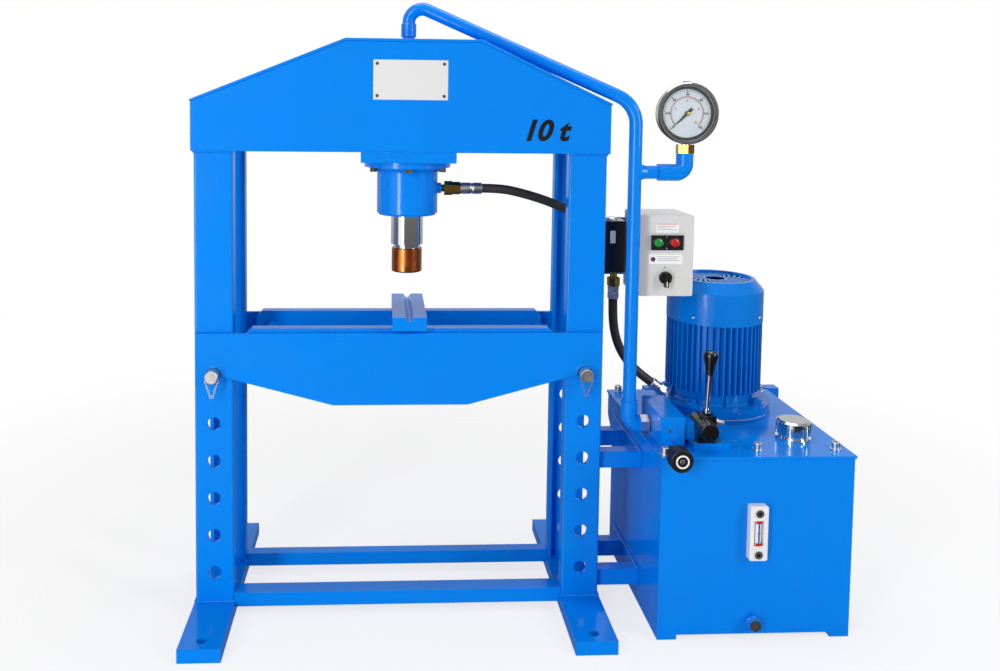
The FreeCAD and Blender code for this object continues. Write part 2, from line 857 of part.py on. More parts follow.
# ---------------------------------------------------------------- motor and pump
def motor_flange():
    z = cover_z1
    ring = [(bell_r, z), (mot_ring_r, z), (mot_ring_r, z + mot_ring_t), (mot_ring_r - 3, z + mot_ring_t),
            (mot_ring_r - 3, mot_flange_z), (mot_flange_r, mot_flange_z), (mot_flange_r, mot_flange_z1),
            (mot_neck_r + 4, mot_flange_z1), (mot_neck_r, mot_flange_z1 + 4), (mot_neck_r, mot_fin_z0),
            (shaft_r + rotor_gap, mot_fin_z0), (shaft_r + rotor_gap, mot_flange_z), (bell_r, mot_flange_z)]
    out = lathe(ring, (mot_x, mot_y, 0))
    more = []
    for i in range(mot_bolt_n):
        a = math.radians(360.0 / mot_bolt_n * (i + 0.5))
        p = (mot_x + mot_bolt_pcd_r * math.cos(a), mot_y + mot_bolt_pcd_r * math.sin(a), mot_flange_z1)
        more.append(rod(mot_boss_r, mot_boss_h, p))
        more.append(hexagon(bolt_af + 3, bolt_head + mot_boss_h, p))
    for i in range(mot_rib_n):
        # ribs run from the flange up the neck
        foot_r, top_r = mot_neck_r + 9, mot_neck_r + 2
        rib = profile_xz([(mot_neck_r - 4, mot_flange_z1), (foot_r, mot_flange_z1), (top_r, mot_fin_z0),
                          (mot_neck_r - 4, mot_fin_z0)], -mot_rib_t / 2, mot_rib_t / 2)
        rib.rotate(V(0, 0, 0), ZA, 360.0 / mot_rib_n * i)
        more.append(at(rib, mot_x, mot_y, 0))
    return join([out] + more)


def motor_frame():
    pts = []
    n = mot_fin_n
    half = mot_fin_t / 2
    for i in range(n):
        a = 2 * math.pi * i / n
        for r, t in ((mot_body_r, -half * 1.5), (mot_fin_r, -half), (mot_fin_r, half), (mot_body_r, half * 1.5)):
            pts.append(V(mot_x + r * math.cos(a) - t * math.sin(a), mot_y + r * math.sin(a) + t * math.cos(a),
                         mot_fin_z0))
    out = polygon(pts).extrude(V(0, 0, mot_fin_z1 - mot_fin_z0))
    out = out.cut(rod(rotor_r + rotor_gap, mot_fin_z1 - mot_fin_z0 - 16, (mot_x, mot_y, mot_fin_z0)))
    return out.cut(rod(shaft_r + rotor_gap, 30, (mot_x, mot_y, mot_fin_z1 - 20)))


def motor_cowl():
    w = cowl_wall
    pts = [(mot_body_r, mot_fin_z1), (cowl_r, mot_fin_z1), (cowl_r, cowl_z1), (cowl_top_r, cowl_top_z),
           (grille_r, cowl_top_z), (grille_r, grille_z + grille_t), (grille_hub_r, grille_z + grille_t),
           (grille_hub_r, grille_z), (cowl_top_r - w - 1, grille_z), (cowl_r - w, cowl_z1 - 1),
           (cowl_r - w, mot_fin_z1 + w), (mot_body_r, mot_fin_z1 + w)]
    out = lathe(pts, (mot_x, mot_y, 0))
    cuts = []
    for i in range(grille_n):
        a = 2 * math.pi * i / grille_n
        r0, r1 = grille_hub_r + 6, grille_r - 5
        inner, outer = [], []
        for k in range(4):
            t = k / 3.0
            r = r0 + (r1 - r0) * t
            q = a + 0.75 * t
            h = grille_slot * (0.45 + 0.75 * t) / r / 2 * 1.6
            inner.append(V(mot_x + r * math.cos(q - h), mot_y + r * math.sin(q - h), grille_z - 1))
            outer.append(V(mot_x + r * math.cos(q + h), mot_y + r * math.sin(q + h), grille_z - 1))
        cuts.append(polygon(inner + outer[::-1]).extrude(V(0, 0, grille_t + 2)))
    return out.cut(group(cuts))


def motor_shaft():
    z0, z1 = pump_z1 + 5, fan_z0 + fan_h - 4
    low = mot_fin_z0 + 10
    high = mot_fin_z1 - 26
    pts = [(0, z0), (coupling_r, z0), (coupling_r, z0 + coupling_h), (shaft_r, z0 + coupling_h),
           (shaft_r, low), (rotor_r, low), (rotor_r, high), (shaft_r, high), (shaft_r, z1), (0, z1)]
    return lathe(pts, (mot_x, mot_y, 0))


def motor_fan():
    hub = rod(fan_hub_r, fan_h, (mot_x, mot_y, fan_z0))
    plate = rod(fan_r, 3, (mot_x, mot_y, fan_z0))
    shapes = [hub, plate]
    for i in range(fan_n):
        blade = box(fan_hub_r - 2, fan_r - 2, -1.2, 1.2, fan_z0, fan_z0 + fan_h - 6)
        blade.rotate(V(0, 0, 0), ZA, 360.0 * i / fan_n)
        shapes.append(at(blade, mot_x, mot_y, 0))
    return join(shapes).cut(rod(shaft_r, fan_h - 4, (mot_x, mot_y, fan_z0)))


def pump():
    # hangs from the cover on its bell, with its gears and the suction pipe below
    z = cover_z1
    bell = [(coupling_r + 4, pump_z1), (bell_r, pump_z1), (bell_r, z), (bell_r - bell_wall, z),
            (bell_r - bell_wall, pump_z1 + bell_wall), (coupling_r + 4, pump_z1 + bell_wall)]
    out = lathe(bell, (mot_x, mot_y, 0))
    body = box(mot_x - pump_w / 2, mot_x + pump_w / 2, mot_y - pump_w / 2, mot_y + pump_w / 2,
               pump_z1 - pump_h, pump_z1)
    suction = rod(14, pump_z1 - pump_h - tank_z0 - 40, (mot_x, mot_y, tank_z0 + 40))
    strainer = rod(30, 60, (mot_x, mot_y, tank_z0 + 25))
    return join([out, body, suction, strainer])


save("motor_flange", motor_flange())
save("motor_frame", motor_frame())
save("motor_cowl", motor_cowl())
save("motor_shaft", motor_shaft())
save("motor_fan", motor_fan())
save("pump", pump())


# ---------------------------------------------------------------- pressure pipe and gauge
def crown_port():
    pts = [(0, barrel_top), (port_r, barrel_top), (port_r, port_z0 - 10), (port_r - 4, port_z0 - 6),
           (port_r - 4, port_z0), (port_r, port_z0 + 1.5), (port_r, port_z1 - 2), (port_r - 2, port_z1), (0, port_z1)]
    return lathe(pts, (cyl_x, 0, 0))


def pressure_pipe():
    pts = [V(cyl_x, 0, port_z1), V(cyl_x, 0, pipe_crown_z), V(pipe_x, pipe_y, pipe_corner_z),
           V(pipe_x, pipe_y, pipe_low_z)]
    return tube_along(pts, [pipe_bend1, pipe_bend2], pipe_r)[0]


def low_elbow():
    x1 = man_x0 - union_ring - union_len
    pts = [V(pipe_x, pipe_y, pipe_low_z), V(pipe_x, pipe_y, elbow_z), V(x1, pipe_y, elbow_z)]
    reach = min(elbow_bend, x1 - pipe_x - 0.5)
    bend = tube_along(pts, [reach], elbow_r)[0]
    return bend


save("pressure_pipe", pressure_pipe())
save("pipe_fittings", group([crown_port(), low_elbow()]))
union_x = man_x0 - union_ring - union_len


def gauge_branch():
    # the branch pipe is saddled and welded on the pressure pipe
    reach = branch_collar_x - pipe_x
    pts = [(0, 0), (branch_r, 0), (branch_flare_r, branch_flare_in), (branch_r, branch_flare_out),
           (branch_r, reach), (0, reach)]
    run = lathe(pts, (pipe_x, pipe_y, branch_z), XA)
    corner = [V(branch_collar_x, pipe_y, branch_z), V(gauge_x, pipe_y, branch_z), V(gauge_x, pipe_y, gauge_stem_z)]
    elbow = tube_along(corner, [branch_bend], branch_elbow_r)[0]
    return join([run, elbow]).cut(rod(pipe_r, 4 * pipe_r, (pipe_x, pipe_y, branch_z - 2 * pipe_r)))


save("gauge_branch", gauge_branch())


def gauge_case():
    # profile along +Y from the bezel's front
    ri = gauge_r - gauge_lip
    pts = [(ri, 0), (gauge_r - 2, 0), (gauge_r, 2), (gauge_r, gauge_bezel), (gauge_case_r, gauge_bezel),
           (gauge_case_r, gauge_depth - 3), (gauge_case_r - 3, gauge_depth), (0, gauge_depth),
           (0, gauge_depth - gauge_back), (ri - 4, gauge_depth - gauge_back), (ri - 4, dial_set + dial_t),
           (ri + 1, dial_set + dial_t), (ri + 1, 1.5), (ri, 1.5)]
    out = lathe(pts, (gauge_x, gauge_front, gauge_z), YA)
    bearing = rod(6, gauge_depth - gauge_back - dial_set - dial_t - 1,
                  (gauge_x, gauge_front + dial_set + dial_t + 1, gauge_z), YA)
    plug_top = rod(plug_r, plug_h + 2, (gauge_x, pipe_y, gauge_z + gauge_case_r - 2))
    stem_z = gauge_stem_z + gauge_nut_h
    stem = rod(8, gauge_z - gauge_case_r - stem_z + 1, (gauge_x, pipe_y, stem_z))
    nut = hexagon(gauge_nut_af, gauge_nut_h, (gauge_x, pipe_y, gauge_stem_z))
    out = join([out, bearing, plug_top, stem, nut])
    return out.cut(rod(spindle_r + run_fit, gauge_depth - gauge_back - dial_set, (gauge_x, gauge_front + dial_set,
                                                                                   gauge_z), YA))


def gauge_needle():
    y = gauge_front + dial_set - 4.5
    hub = rod(needle_hub_r, 3.5, (gauge_x, y, gauge_z), YA)
    spindle = rod(spindle_r, gauge_depth - gauge_back - 8.5, (gauge_x, y, gauge_z), YA)
    a = math.radians(225)
    d, n = V(math.cos(a), 0, math.sin(a)), V(-math.sin(a), 0, math.cos(a))
    c = V(gauge_x, y + 1, gauge_z)
    blade = polygon([c + d * needle_len, c + n * 2.6, c - d * needle_tail + n * 3.4,
                     c - d * needle_tail - n * 3.4, c - n * 2.6]).extrude(V(0, 1.2, 0))
    return join([hub, spindle, blade])


save("gauge_case", gauge_case())
dial_r = gauge_r - gauge_lip + 1
save("gauge_dial", rod(dial_r, dial_t, (gauge_x, gauge_front + dial_set, gauge_z), YA).cut(
    rod(spindle_r + pin_clear, 10, (gauge_x, gauge_front + dial_set - 4, gauge_z), YA)))
save("gauge_glass", rod(dial_r, glass_t, (gauge_x, gauge_front + 1.5, gauge_z), YA))
save("gauge_needle", gauge_needle())


# ---------------------------------------------------------------- manifold, valve, throttle
def manifold():
    hexed = hexagon(thr_hex_af, thr_hex_len, (thr_x, man_y0 - thr_hex_len, thr_z), YA, 30)
    block = join([box(man_x0, man_x1, man_y0, man_y1, cover_z1, man_z1), hexed])
    block = block.cut(rod(thr_stem_r + run_fit, thr_hex_len + 20, (thr_x, man_y0 - thr_hex_len, thr_z), YA))
    plate = box(sub_x0, sub_x1, sub_y0, sub_y1, cover_z1, cover_z1 + sub_t)
    bridge = box(man_x1, link_x1, link_y0, link_y1, cover_z1 + sub_t, link_z1)
    bridge = bridge.cut(rod(val_r + seat_gap, 200, (val_x, -250, val_z), YA))
    return group([block, plate, bridge])


save("manifold", manifold())


def throttle_knob():
    # one turned profile along +Y from the front screw, with an indicator ring standing on the front face
    r, e, f, n = thr_knob_r, thr_edge, thr_proud, thr_knob_len + thr_proud
    ring_in = thr_ring_r - thr_ring_w
    pts = [(0, 0), (thr_screw_r, 0), (thr_screw_r, f), (ring_in, f), (ring_in, 0), (thr_ring_r, 0),
           (thr_ring_r, f), (r - e, f), (r, f + e), (r, n - e), (r - e, n), (thr_collar_r, n),
           (thr_collar_r, n + thr_collar_len), (thr_stem_r, n + thr_collar_len)]
    y0 = thr_knob_y - thr_knob_len / 2 - f
    stem = man_y0 + 18 - y0
    return lathe(pts + [(thr_stem_r, stem), (0, stem)], (thr_x, y0, thr_z), YA)


save("throttle_knob", throttle_knob())


def valve_body():
    z0, long = cover_z1 + sub_t, val_y1 - val_y0
    foot_block = box(val_x - val_foot_half, val_x + val_foot_half, val_y0 + 2, val_y1, z0, val_z)
    barrel_body = lathe([(0, 0), (val_r - 1.5, 0), (val_r, 1.5), (val_r, long), (0, long)], (val_x, val_y0, val_z), YA)
    boss = box(val_x, val_boss_x1, val_boss_y0, val_boss_y1, val_boss_z0, val_z1)
    n = val_cap_len
    cap = lathe([(0, 2), (val_recess_r, 2), (val_recess_r, 0), (val_cap_r - 1.5, 0), (val_cap_r, 1.5),
                 (val_cap_r, n), (0, n)], (val_x, val_y0 - n, val_z), YA)
    out = join([foot_block, barrel_body, boss, cap])
    out = out.cut(box(lev_x - lev_slot_w / 2, lev_x + lev_slot_w / 2, lev_y - lev_slot_l / 2,
                      lev_y + lev_slot_l / 2, val_z1 - lev_slot_d, val_z1 + 1))
    return out.cut(rod(lev_pin_r + run_fit, lev_slot_w + 12, (lev_x - lev_slot_w / 2 - 6, lev_y, lev_z), XA))


def leaning(shape):
    shape.rotate(V(lev_x, lev_y, lev_z), YA, lev_lean)
    return shape


def valve_lever():
    cross = rod(lev_pin_r, lev_slot_w + 10, (lev_x - lev_slot_w / 2 - 5, lev_y, lev_z), XA)
    stick = leaning(rod(lev_rod_r, knob_z0 - lev_z, (lev_x, lev_y, lev_z)))
    eye = rod(lev_rod_r + 1.5, lev_slot_w - 1.0, (lev_x - lev_slot_w / 2 + 0.5, lev_y, lev_z), XA)
    collar = leaning(rod(lev_collar_r, lev_collar_h, (lev_x, lev_y, lev_collar_z)))
    return join([cross, stick, eye, collar])


def union():
    nut = [hexagon(union_af, union_len, (union_x, pipe_y, elbow_z), XA),
           rod(union_af * 0.42, union_ring, (man_x0 - union_ring, pipe_y, elbow_z), XA)]
    y = (val_boss_y0 + val_boss_y1) / 2
    nipple = lathe([(0, 0), (val_nip_r, 0), (val_nip_r, val_nip_len * 0.6), (val_nip_r * 0.6, val_nip_len),
                    (0, val_nip_len)], (val_boss_x1 + val_hex_len, y, val_fit_z), XA)
    drain = join([hexagon(val_hex_af, val_hex_len, (val_boss_x1, y, val_fit_z), XA), nipple])
    return group(nut + [drain])


save("union_nut", union())
save("valve_body", valve_body())
save("valve_lever", valve_lever())
knob_line = [(0, 0), (0.9, 0), (1, 0.04), (1.05, 0.2), (1.28, 0.4), (1.52, 0.56), (1.7, 0.7), (1.765, 0.79),
             (1.72, 0.87), (1.5, 0.94), (1.1, 0.98), (0.6, 1), (0, 1)]
save("lever_knob", leaning(lathe([(knob_r1 * r, knob_z0 + (knob_z1 - knob_z0) * h) for r, h in knob_line],
                                 (lev_x, lev_y, 0))))


# ---------------------------------------------------------------- side bracket, block, hoses
up_side = up_mid + ch_face / 2
save("side_bracket", box(up_side, side_x1, side_y, side_y + side_t, side_z0, side_z1))


def block():
    out = box(blk_x0, blk_x1, blk_y0, side_y, blk_z0, blk_z1)
    out = out.makeChamfer(2.0, [e for e in out.Edges if abs(e.Vertexes[0].Z - e.Vertexes[-1].Z) > 1
                                and e.Vertexes[0].Y < side_y - 1])
    x, y = (blk_x0 + blk_x1) / 2, (blk_y0 + side_y) / 2
    dome = lathe([(0, 0), (dome_r, 0), (dome_r * 0.8, dome_h * 0.6), (dome_r * 0.4, dome_h), (0, dome_h)],
                 (x, y, blk_z1))
    return join([out, dome])


save("junction_block", block())

# hose 1 leaves the cylinder's side port, hose 2 leaves the block downwards; points are on the axis
nut_x0 = cyl_x + barrel_r + boss_len
nut_x1 = nut_x0 + port_neck_len + 2 * nut_len
hose1_x0 = nut_x1 + ferrule_len
hose1_rest = [(40, 0, 0), (86, 3, -9.5), (131, 9, -23), (166, 15, -36), (199, 21, -50)]
hose1_pts = [V(hose1_x0, 0, side_port_z)] + [V(hose1_x0 + a, b, side_port_z + c) for a, b, c in hose1_rest]
low_z1 = blk_z0 - low_neck_h - low_nut_h
hose2_z0 = low_z1 - ferrule_low_len
hose2_rest = [(0, 0, -45), (9, 0, -95), (30, 1, -137), (62, 2, -171), (92, 3, -193)]
hose2_pts = [V(low_x, low_y, hose2_z0)] + [V(low_x + a, low_y + b, hose2_z0 + c) for a, b, c in hose2_rest]
end1 = (hose1_pts[-1] - hose1_pts[-2]).normalize()
end2 = (hose2_pts[-1] - hose2_pts[-2]).normalize()
save("hose_1", cord_tube("hose_1", hose1_pts, hose_r))
save("hose_2", cord_tube("hose_2", hose2_pts, hose_r))


def brass_nuts():
    x = nut_x0
    neck = rod(nut_neck_r, port_neck_len, (x, 0, side_port_z), XA)
    n1 = hexagon(nut_af, nut_len, (x + port_neck_len, 0, side_port_z), XA)
    n2 = hexagon(nut_step_af, nut_len, (x + port_neck_len + nut_len, 0, side_port_z), XA)
    low = join([rod(low_neck_r, low_neck_h, (low_x, low_y, blk_z0 - low_neck_h)),
                hexagon(low_nut_af, low_nut_h, (low_x, low_y, low_z1))])
    return group([join([neck, n1, n2]), low])


def ferrule(p, d, length):
    pts = [(0, 0), (ferrule_r - 1.5, 0), (ferrule_r, 2), (ferrule_r, length * 0.45), (ferrule_r - 1.2, length * 0.5),
           (ferrule_r - 1.2, length * 0.55), (ferrule_r, length * 0.6), (ferrule_r, length - 2),
           (ferrule_r - 1.5, length), (0, length)]
    side = ZA.cross(d)
    if side.Length < 1e-6:
        side = V(XA)
    side.normalize()
    face = polygon([p + side * r + d * h for r, h in pts])
    return face.revolve(p, d, 360)


save("brass_nuts", brass_nuts())
fer1_end = hose1_pts[-1] + end1 * ferrule_len
fer2_end = hose2_pts[-1] + end2 * ferrule_end_len
save("hose_ferrules", group([ferrule(V(nut_x1, 0, side_port_z), XA, ferrule_len),
                             ferrule(hose1_pts[-1], end1, ferrule_len),
                             ferrule(V(low_x, low_y, hose2_z0), ZA, ferrule_low_len),
                             ferrule(hose2_pts[-1], end2, ferrule_end_len)]))


def block_adaptor():
    nut = hexagon(nut_af, adaptor_nut_len, (fer1_end.x, fer1_end.y, fer1_end.z), end1)
    neck = rod(adaptor_r, 60, fer1_end + end1 * adaptor_nut_len, end1)
    stop = box(blk_x0, blk_x0 + 200, -200, 200, fer1_end.z - 200, fer1_end.z + 200)
    return join([nut, neck]).cut(stop)


def return_elbow():
    nut = hexagon(nut_step_af, return_nut, (fer2_end.x, fer2_end.y, fer2_end.z), end2)
    top = fer2_end + end2 * return_nut
    half_turn = end2.getAngle(-ZA) / 2
    corner = top + end2 * (return_bend * math.tan(half_turn) + 1)
    foot_p = V(corner.x, corner.y, cover_z1)
    elbow = tube_along([top, corner, foot_p + ZA * return_hex_h], [return_bend], return_r)[0]
    base = hexagon(return_hex_af, return_hex_h, (foot_p.x, foot_p.y, cover_z1))
    return join([nut, elbow, base])


save("hose_adaptors", group([block_adaptor(), return_elbow()]))


# ---------------------------------------------------------------- control box
def control_box():
    out = box(ctl_x0, ctl_x1, ctl_y0, side_y, ctl_z0, ctl_z1)
    out = out.makeFillet(ctl_round, [e for e in out.Edges if abs(e.Vertexes[0].Y - e.Vertexes[-1].Y) > 1])
    for x in (btn_x_green, btn_x_red):
        out = out.cut(rod(btn_r + btn_gap, btn_in + 1, (x, ctl_y0 - 1, btn_z), YA))
    out = out.cut(rod(spindle_r * 3 + run_fit, 12, (sel_x, ctl_y0 - 1, sel_z), YA))
    disc = rod(sel_disc_r, sel_disc_t, (sel_x, ctl_y0 - sel_disc_t, sel_z), YA)
    disc = disc.cut(rod(spindle_r * 3 + run_fit, 12, (sel_x, ctl_y0 - sel_disc_t - 1, sel_z), YA))
    return join([out, disc])


def button(x):
    # a shallow dome on a straight skirt
    y0 = ctl_y0 - pan_t - btn_out / 2
    dome = [(btn_r * q, btn_dome * (1 - math.sqrt(1 - (0.98 * q) ** 2))) for q in (0.0, 0.3, 0.55, 0.75, 0.9, 1.0)]
    return lathe(dome + [(btn_r, ctl_y0 + 1 - y0), (0, ctl_y0 + 1 - y0)], (x, y0, btn_z), YA)


def button_base():
    out = box(pan_x0, pan_x1, ctl_y0 - pan_t, ctl_y0, pan_z0, pan_z1)
    for x in (btn_x_green, btn_x_red):
        out = out.cut(rod(btn_r + btn_gap, pan_t + 2, (x, ctl_y0 - pan_t - 1, btn_z), YA))
    return out


def selector():
    y1 = ctl_y0 - sel_disc_t - pin_clear
    knob = rod(sel_r, sel_t, (sel_x, y1 - sel_t, sel_z), YA)
    grip = box(sel_x - sel_bar_w / 2, sel_x + sel_bar_w / 2, y1 - sel_t - sel_bar_t, y1 - sel_t / 2,
               sel_z - sel_bar_low, sel_z + sel_bar_high)
    spindle = rod(spindle_r * 3, 10, (sel_x, y1, sel_z), YA)
    return join([knob, grip, spindle])


save("control_box", control_box())
save("button_base", button_base())
save("button_green", button(btn_x_green))
save("button_red", button(btn_x_red))
save("selector", selector())

print(len(saved), "nodes")
for name, shape in saved.items():
    if not shape.isValid() or shape.Volume <= 0:
        print("check", name, shape.isValid(), shape.Volume)
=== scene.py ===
import bmesh
import bpy
import json
import math
from mathutils import Matrix, Vector


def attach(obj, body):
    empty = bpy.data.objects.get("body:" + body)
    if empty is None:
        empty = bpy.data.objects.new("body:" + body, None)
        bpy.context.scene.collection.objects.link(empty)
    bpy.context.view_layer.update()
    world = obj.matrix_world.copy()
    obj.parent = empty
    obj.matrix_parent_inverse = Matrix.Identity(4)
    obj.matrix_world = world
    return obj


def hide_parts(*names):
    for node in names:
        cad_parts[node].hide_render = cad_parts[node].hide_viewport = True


# Workshop hydraulic press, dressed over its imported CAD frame.  Metres, +Z up, the front faces -Y.
# What is added is given in millimetres.
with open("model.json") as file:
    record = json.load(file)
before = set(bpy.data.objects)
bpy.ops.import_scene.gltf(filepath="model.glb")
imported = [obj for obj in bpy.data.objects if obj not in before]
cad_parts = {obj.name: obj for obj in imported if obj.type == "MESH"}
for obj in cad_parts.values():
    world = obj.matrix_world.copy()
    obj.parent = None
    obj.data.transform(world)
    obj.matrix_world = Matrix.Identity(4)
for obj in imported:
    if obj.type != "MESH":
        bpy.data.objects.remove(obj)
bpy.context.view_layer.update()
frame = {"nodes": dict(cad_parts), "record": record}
NODES = frame["nodes"]
scene = bpy.context.scene
scene.view_settings.view_transform = "Standard"
SHARP = math.radians(32)            # an edge that turns by more than this is not shaded smooth


# ---------------------------------------------------------------- camera
def place_camera():
    # the photograph's own view: focal length and principal point in its pixels, then the angles
    focal, centre_x, centre_y, width, height = 881.4, 428.8, 163.3, 1000.0, 671.0
    pitch, yaw, roll = (math.radians(a) for a in (3.553, 2.847, 0.604))
    eye = (-0.0366, -1.9225, 1.0765)
    forward = Vector((math.sin(yaw) * math.cos(pitch), math.cos(yaw) * math.cos(pitch), -math.sin(pitch)))
    level = Vector((math.cos(yaw), -math.sin(yaw), 0.0))
    up = level.cross(forward)
    right = level * math.cos(roll) + up * math.sin(roll)
    top = up * math.cos(roll) - level * math.sin(roll)
    data = bpy.data.cameras.new("camera")
    data.sensor_width = 36.0
    data.lens = focal / width * 36.0
    data.shift_x = (width / 2 - centre_x) / width
    data.shift_y = (centre_y - height / 2) / width
    data.clip_end = 60.0
    camera = bpy.data.objects.new("camera", data)
    scene.collection.objects.link(camera)
    turn = Matrix((right, top, -forward)).transposed().to_4x4()
    camera.matrix_world = Matrix.Translation(eye) @ turn
    scene.camera = camera


place_camera()


# ---------------------------------------------------------------- small tools
def linear(hex_colour):
    # an sRGB hex colour as the linear values that the shader sockets take
    parts = [int(hex_colour[i:i + 2], 16) / 255.0 for i in (1, 3, 5)]
    return tuple(c / 12.92 if c <= 0.04045 else ((c + 0.055) / 1.055) ** 2.4 for c in parts) + (1.0,)


def add(tree, kind, values=None, links=None, **settings):
    # one node, with its settings, its input values and the sockets that feed it
    node = tree.nodes.new(kind)
    for name, value in settings.items():
        setattr(node, name, value)
    for key, value in (values or {}).items():
        node.inputs[key].default_value = value
    for key, socket in (links or {}).items():
        tree.links.new(socket, node.inputs[key])
    return node


def start_material(name):
    # an empty material: its tree, its shader and its object coordinates
    material = bpy.data.materials.new(name)
    material.use_nodes = True
    tree = material.node_tree
    tree.nodes.clear()
    shader = add(tree, "ShaderNodeBsdfPrincipled")
    add(tree, "ShaderNodeOutputMaterial", links={"Surface": shader.outputs["BSDF"]})
    return material, tree, shader, add(tree, "ShaderNodeTexCoord").outputs["Object"]


def per_metre(size_mm):
    # a texture scale from the real size of one feature
    return 1000.0 / size_mm


def tint(tree, shader, mask, colour, other, roughness, rougher):
    # the mask carries the base colour from one tone to the other, and the roughness with it
    tone = add(tree, "ShaderNodeMix", {6: linear(colour), 7: linear(other)}, {0: mask}, data_type="RGBA")
    tree.links.new(tone.outputs[2], shader.inputs["Base Color"])
    spread = add(tree, "ShaderNodeMapRange", {"From Min": 0.3, "From Max": 0.7, "To Min": roughness,
                                              "To Max": rougher}, {"Value": mask})
    tree.links.new(spread.outputs["Result"], shader.inputs["Roughness"])


def relief(tree, shader, height, strength, depth_mm):
    bump = add(tree, "ShaderNodeBump", {"Strength": strength, "Distance": depth_mm / 1000.0}, {"Height": height})
    tree.links.new(bump.outputs["Normal"], shader.inputs["Normal"])


# ---------------------------------------------------------------- materials
def gloss_enamel(name, colour, other, roughness, rougher, peel_mm):
    # sprayed gloss enamel: one strong even colour, a wet highlight and a slight orange peel.
    # real peel is 1 to 3 mm, too fine for this view, so it is drawn coarser
    material, tree, shader, where = start_material(name)
    drift = add(tree, "ShaderNodeTexNoise", {"Scale": per_metre(90), "Detail": 4.0}, {"Vector": where})
    tint(tree, shader, drift.outputs["Fac"], colour, other, roughness, rougher)
    peel = add(tree, "ShaderNodeTexNoise", {"Scale": per_metre(peel_mm), "Detail": 1.5}, {"Vector": where})
    relief(tree, shader, peel.outputs["Fac"], 0.08, 0.5)
    shader.inputs["Specular IOR Level"].default_value = 0.22
    shader.inputs["Coat Weight"].default_value = 0.15
    shader.inputs["Coat Roughness"].default_value = 0.05
    return material


def worked_metal(name, colour, other, roughness, pitch_mm, axis, mark):
    # bare or plated metal that keeps the marks of its making: fine rings or grain across one axis
    material, tree, shader, where = start_material(name)
    shader.inputs["Metallic"].default_value = 1.0
    cloud = add(tree, "ShaderNodeTexNoise", {"Scale": per_metre(25), "Detail": 4.0}, {"Vector": where})
    tint(tree, shader, cloud.outputs["Fac"], colour, other, roughness * 0.8, roughness * 1.3)
    rings = add(tree, "ShaderNodeTexWave", {"Scale": per_metre(pitch_mm) / 20.0, "Distortion": 1.2, "Detail": 2.0},
                {"Vector": where}, wave_type="BANDS", bands_direction=axis)
    relief(tree, shader, rings.outputs["Fac"], mark, 0.2)
    return material


def moulded(name, colour, other, roughness, grain_mm, depth, coat=0.0):
    # plastic, rubber, ink or powder coat: an even colour with a fine cast grain
    material, tree, shader, where = start_material(name)
    cloud = add(tree, "ShaderNodeTexNoise", {"Scale": per_metre(30), "Detail": 4.0}, {"Vector": where})
    tint(tree, shader, cloud.outputs["Fac"], colour, other, roughness * 0.85, roughness * 1.15)
    grain = add(tree, "ShaderNodeTexNoise", {"Scale": per_metre(grain_mm), "Detail": 2.0}, {"Vector": where})
    relief(tree, shader, grain.outputs["Fac"], depth, 0.4)
    shader.inputs["Coat Weight"].default_value = coat
    shader.inputs["Coat Roughness"].default_value = 0.1
    return material


def clear_glass():
    # flat gauge glass: nearly invisible, with a clean reflection and a trace of dust
    material, tree, shader, where = start_material("clear_gauge_glass")
    dust = add(tree, "ShaderNodeTexNoise", {"Scale": per_metre(12), "Detail": 4.0}, {"Vector": where})
    spread = add(tree, "ShaderNodeMapRange", {"To Min": 0.0, "To Max": 0.06}, {"Value": dust.outputs["Fac"]})
    tree.links.new(spread.outputs["Result"], shader.inputs["Roughness"])
    shader.inputs["Base Color"].default_value = linear("#FBFDFD")
    shader.inputs["Transmission Weight"].default_value = 1.0
    shader.inputs["IOR"].default_value = 1.45
    return material


ENAMEL = gloss_enamel("blue_gloss_enamel", "#0084EC", "#007EE3", 0.13, 0.20, 7.0)
# the cast motor takes the same enamel a shade deeper, and its skin is rougher
CAST_ENAMEL = gloss_enamel("blue_enamel_on_cast_aluminium", "#007CDC", "#0074D0", 0.16, 0.26, 4.0)
CHROME = worked_metal("hard_chrome_plate", "#F2F2F0", "#EDEEEE", 0.05, 1.5, "Z", 0.0)
COPPER = worked_metal("turned_copper", "#D8763F", "#CB6C39", 0.30, 2.2, "Z", 0.08)
BRASS = worked_metal("turned_brass", "#BE9A4C", "#A5823A", 0.22, 2.0, "X", 0.15)
ZINC = worked_metal("bright_zinc_plate", "#E2E3E4", "#CDCED1", 0.34, 3.0, "Z", 0.1)
STAINLESS = worked_metal("polished_stainless_steel", "#D2D3D5", "#C6C8CA", 0.10, 2.0, "Y", 0.02)
PIN_STEEL = worked_metal("turned_steel", "#E0DEDA", "#CCCAC6", 0.42, 2.4, "Y", 0.2)
LACQUERED = moulded("matt_lacquered_aluminium", "#DDDCDC", "#DAD9D9", 0.42, 4.0, 0.03)
DARK_STEEL = worked_metal("oiled_dark_steel", "#5A5C5F", "#46484B", 0.3, 3.0, "Z", 0.1)
HOSE_RUBBER = moulded("black_hose_rubber", "#2B2928", "#35322F", 0.48, 4.0, 0.25)
PHENOLIC = moulded("black_phenolic_moulding", "#0C0C0D", "#141416", 0.2, 12.0, 0.03, 0.5)
PLASTIC = moulded("black_moulded_plastic", "#151517", "#1F1F22", 0.36, 2.5, 0.12)
PHOSPHATE = moulded("black_oiled_steel", "#0D0E10", "#15171A", 0.24, 4.0, 0.1, 0.5)
POWDER = moulded("light_grey_powder_coat", "#D9D8D5", "#D3D2CF", 0.42, 2.2, 0.12)
NYLON = moulded("white_moulded_nylon", "#F0EFEE", "#E8E7E7", 0.3, 6.0, 0.05, 0.3)
DIAL = moulded("printed_dial_white", "#E9F0F8", "#E3EBF4", 0.5, 8.0, 0.02)
FILM = moulded("matt_label_film", "#F4F4F3", "#ECECEB", 0.45, 5.0, 0.04)
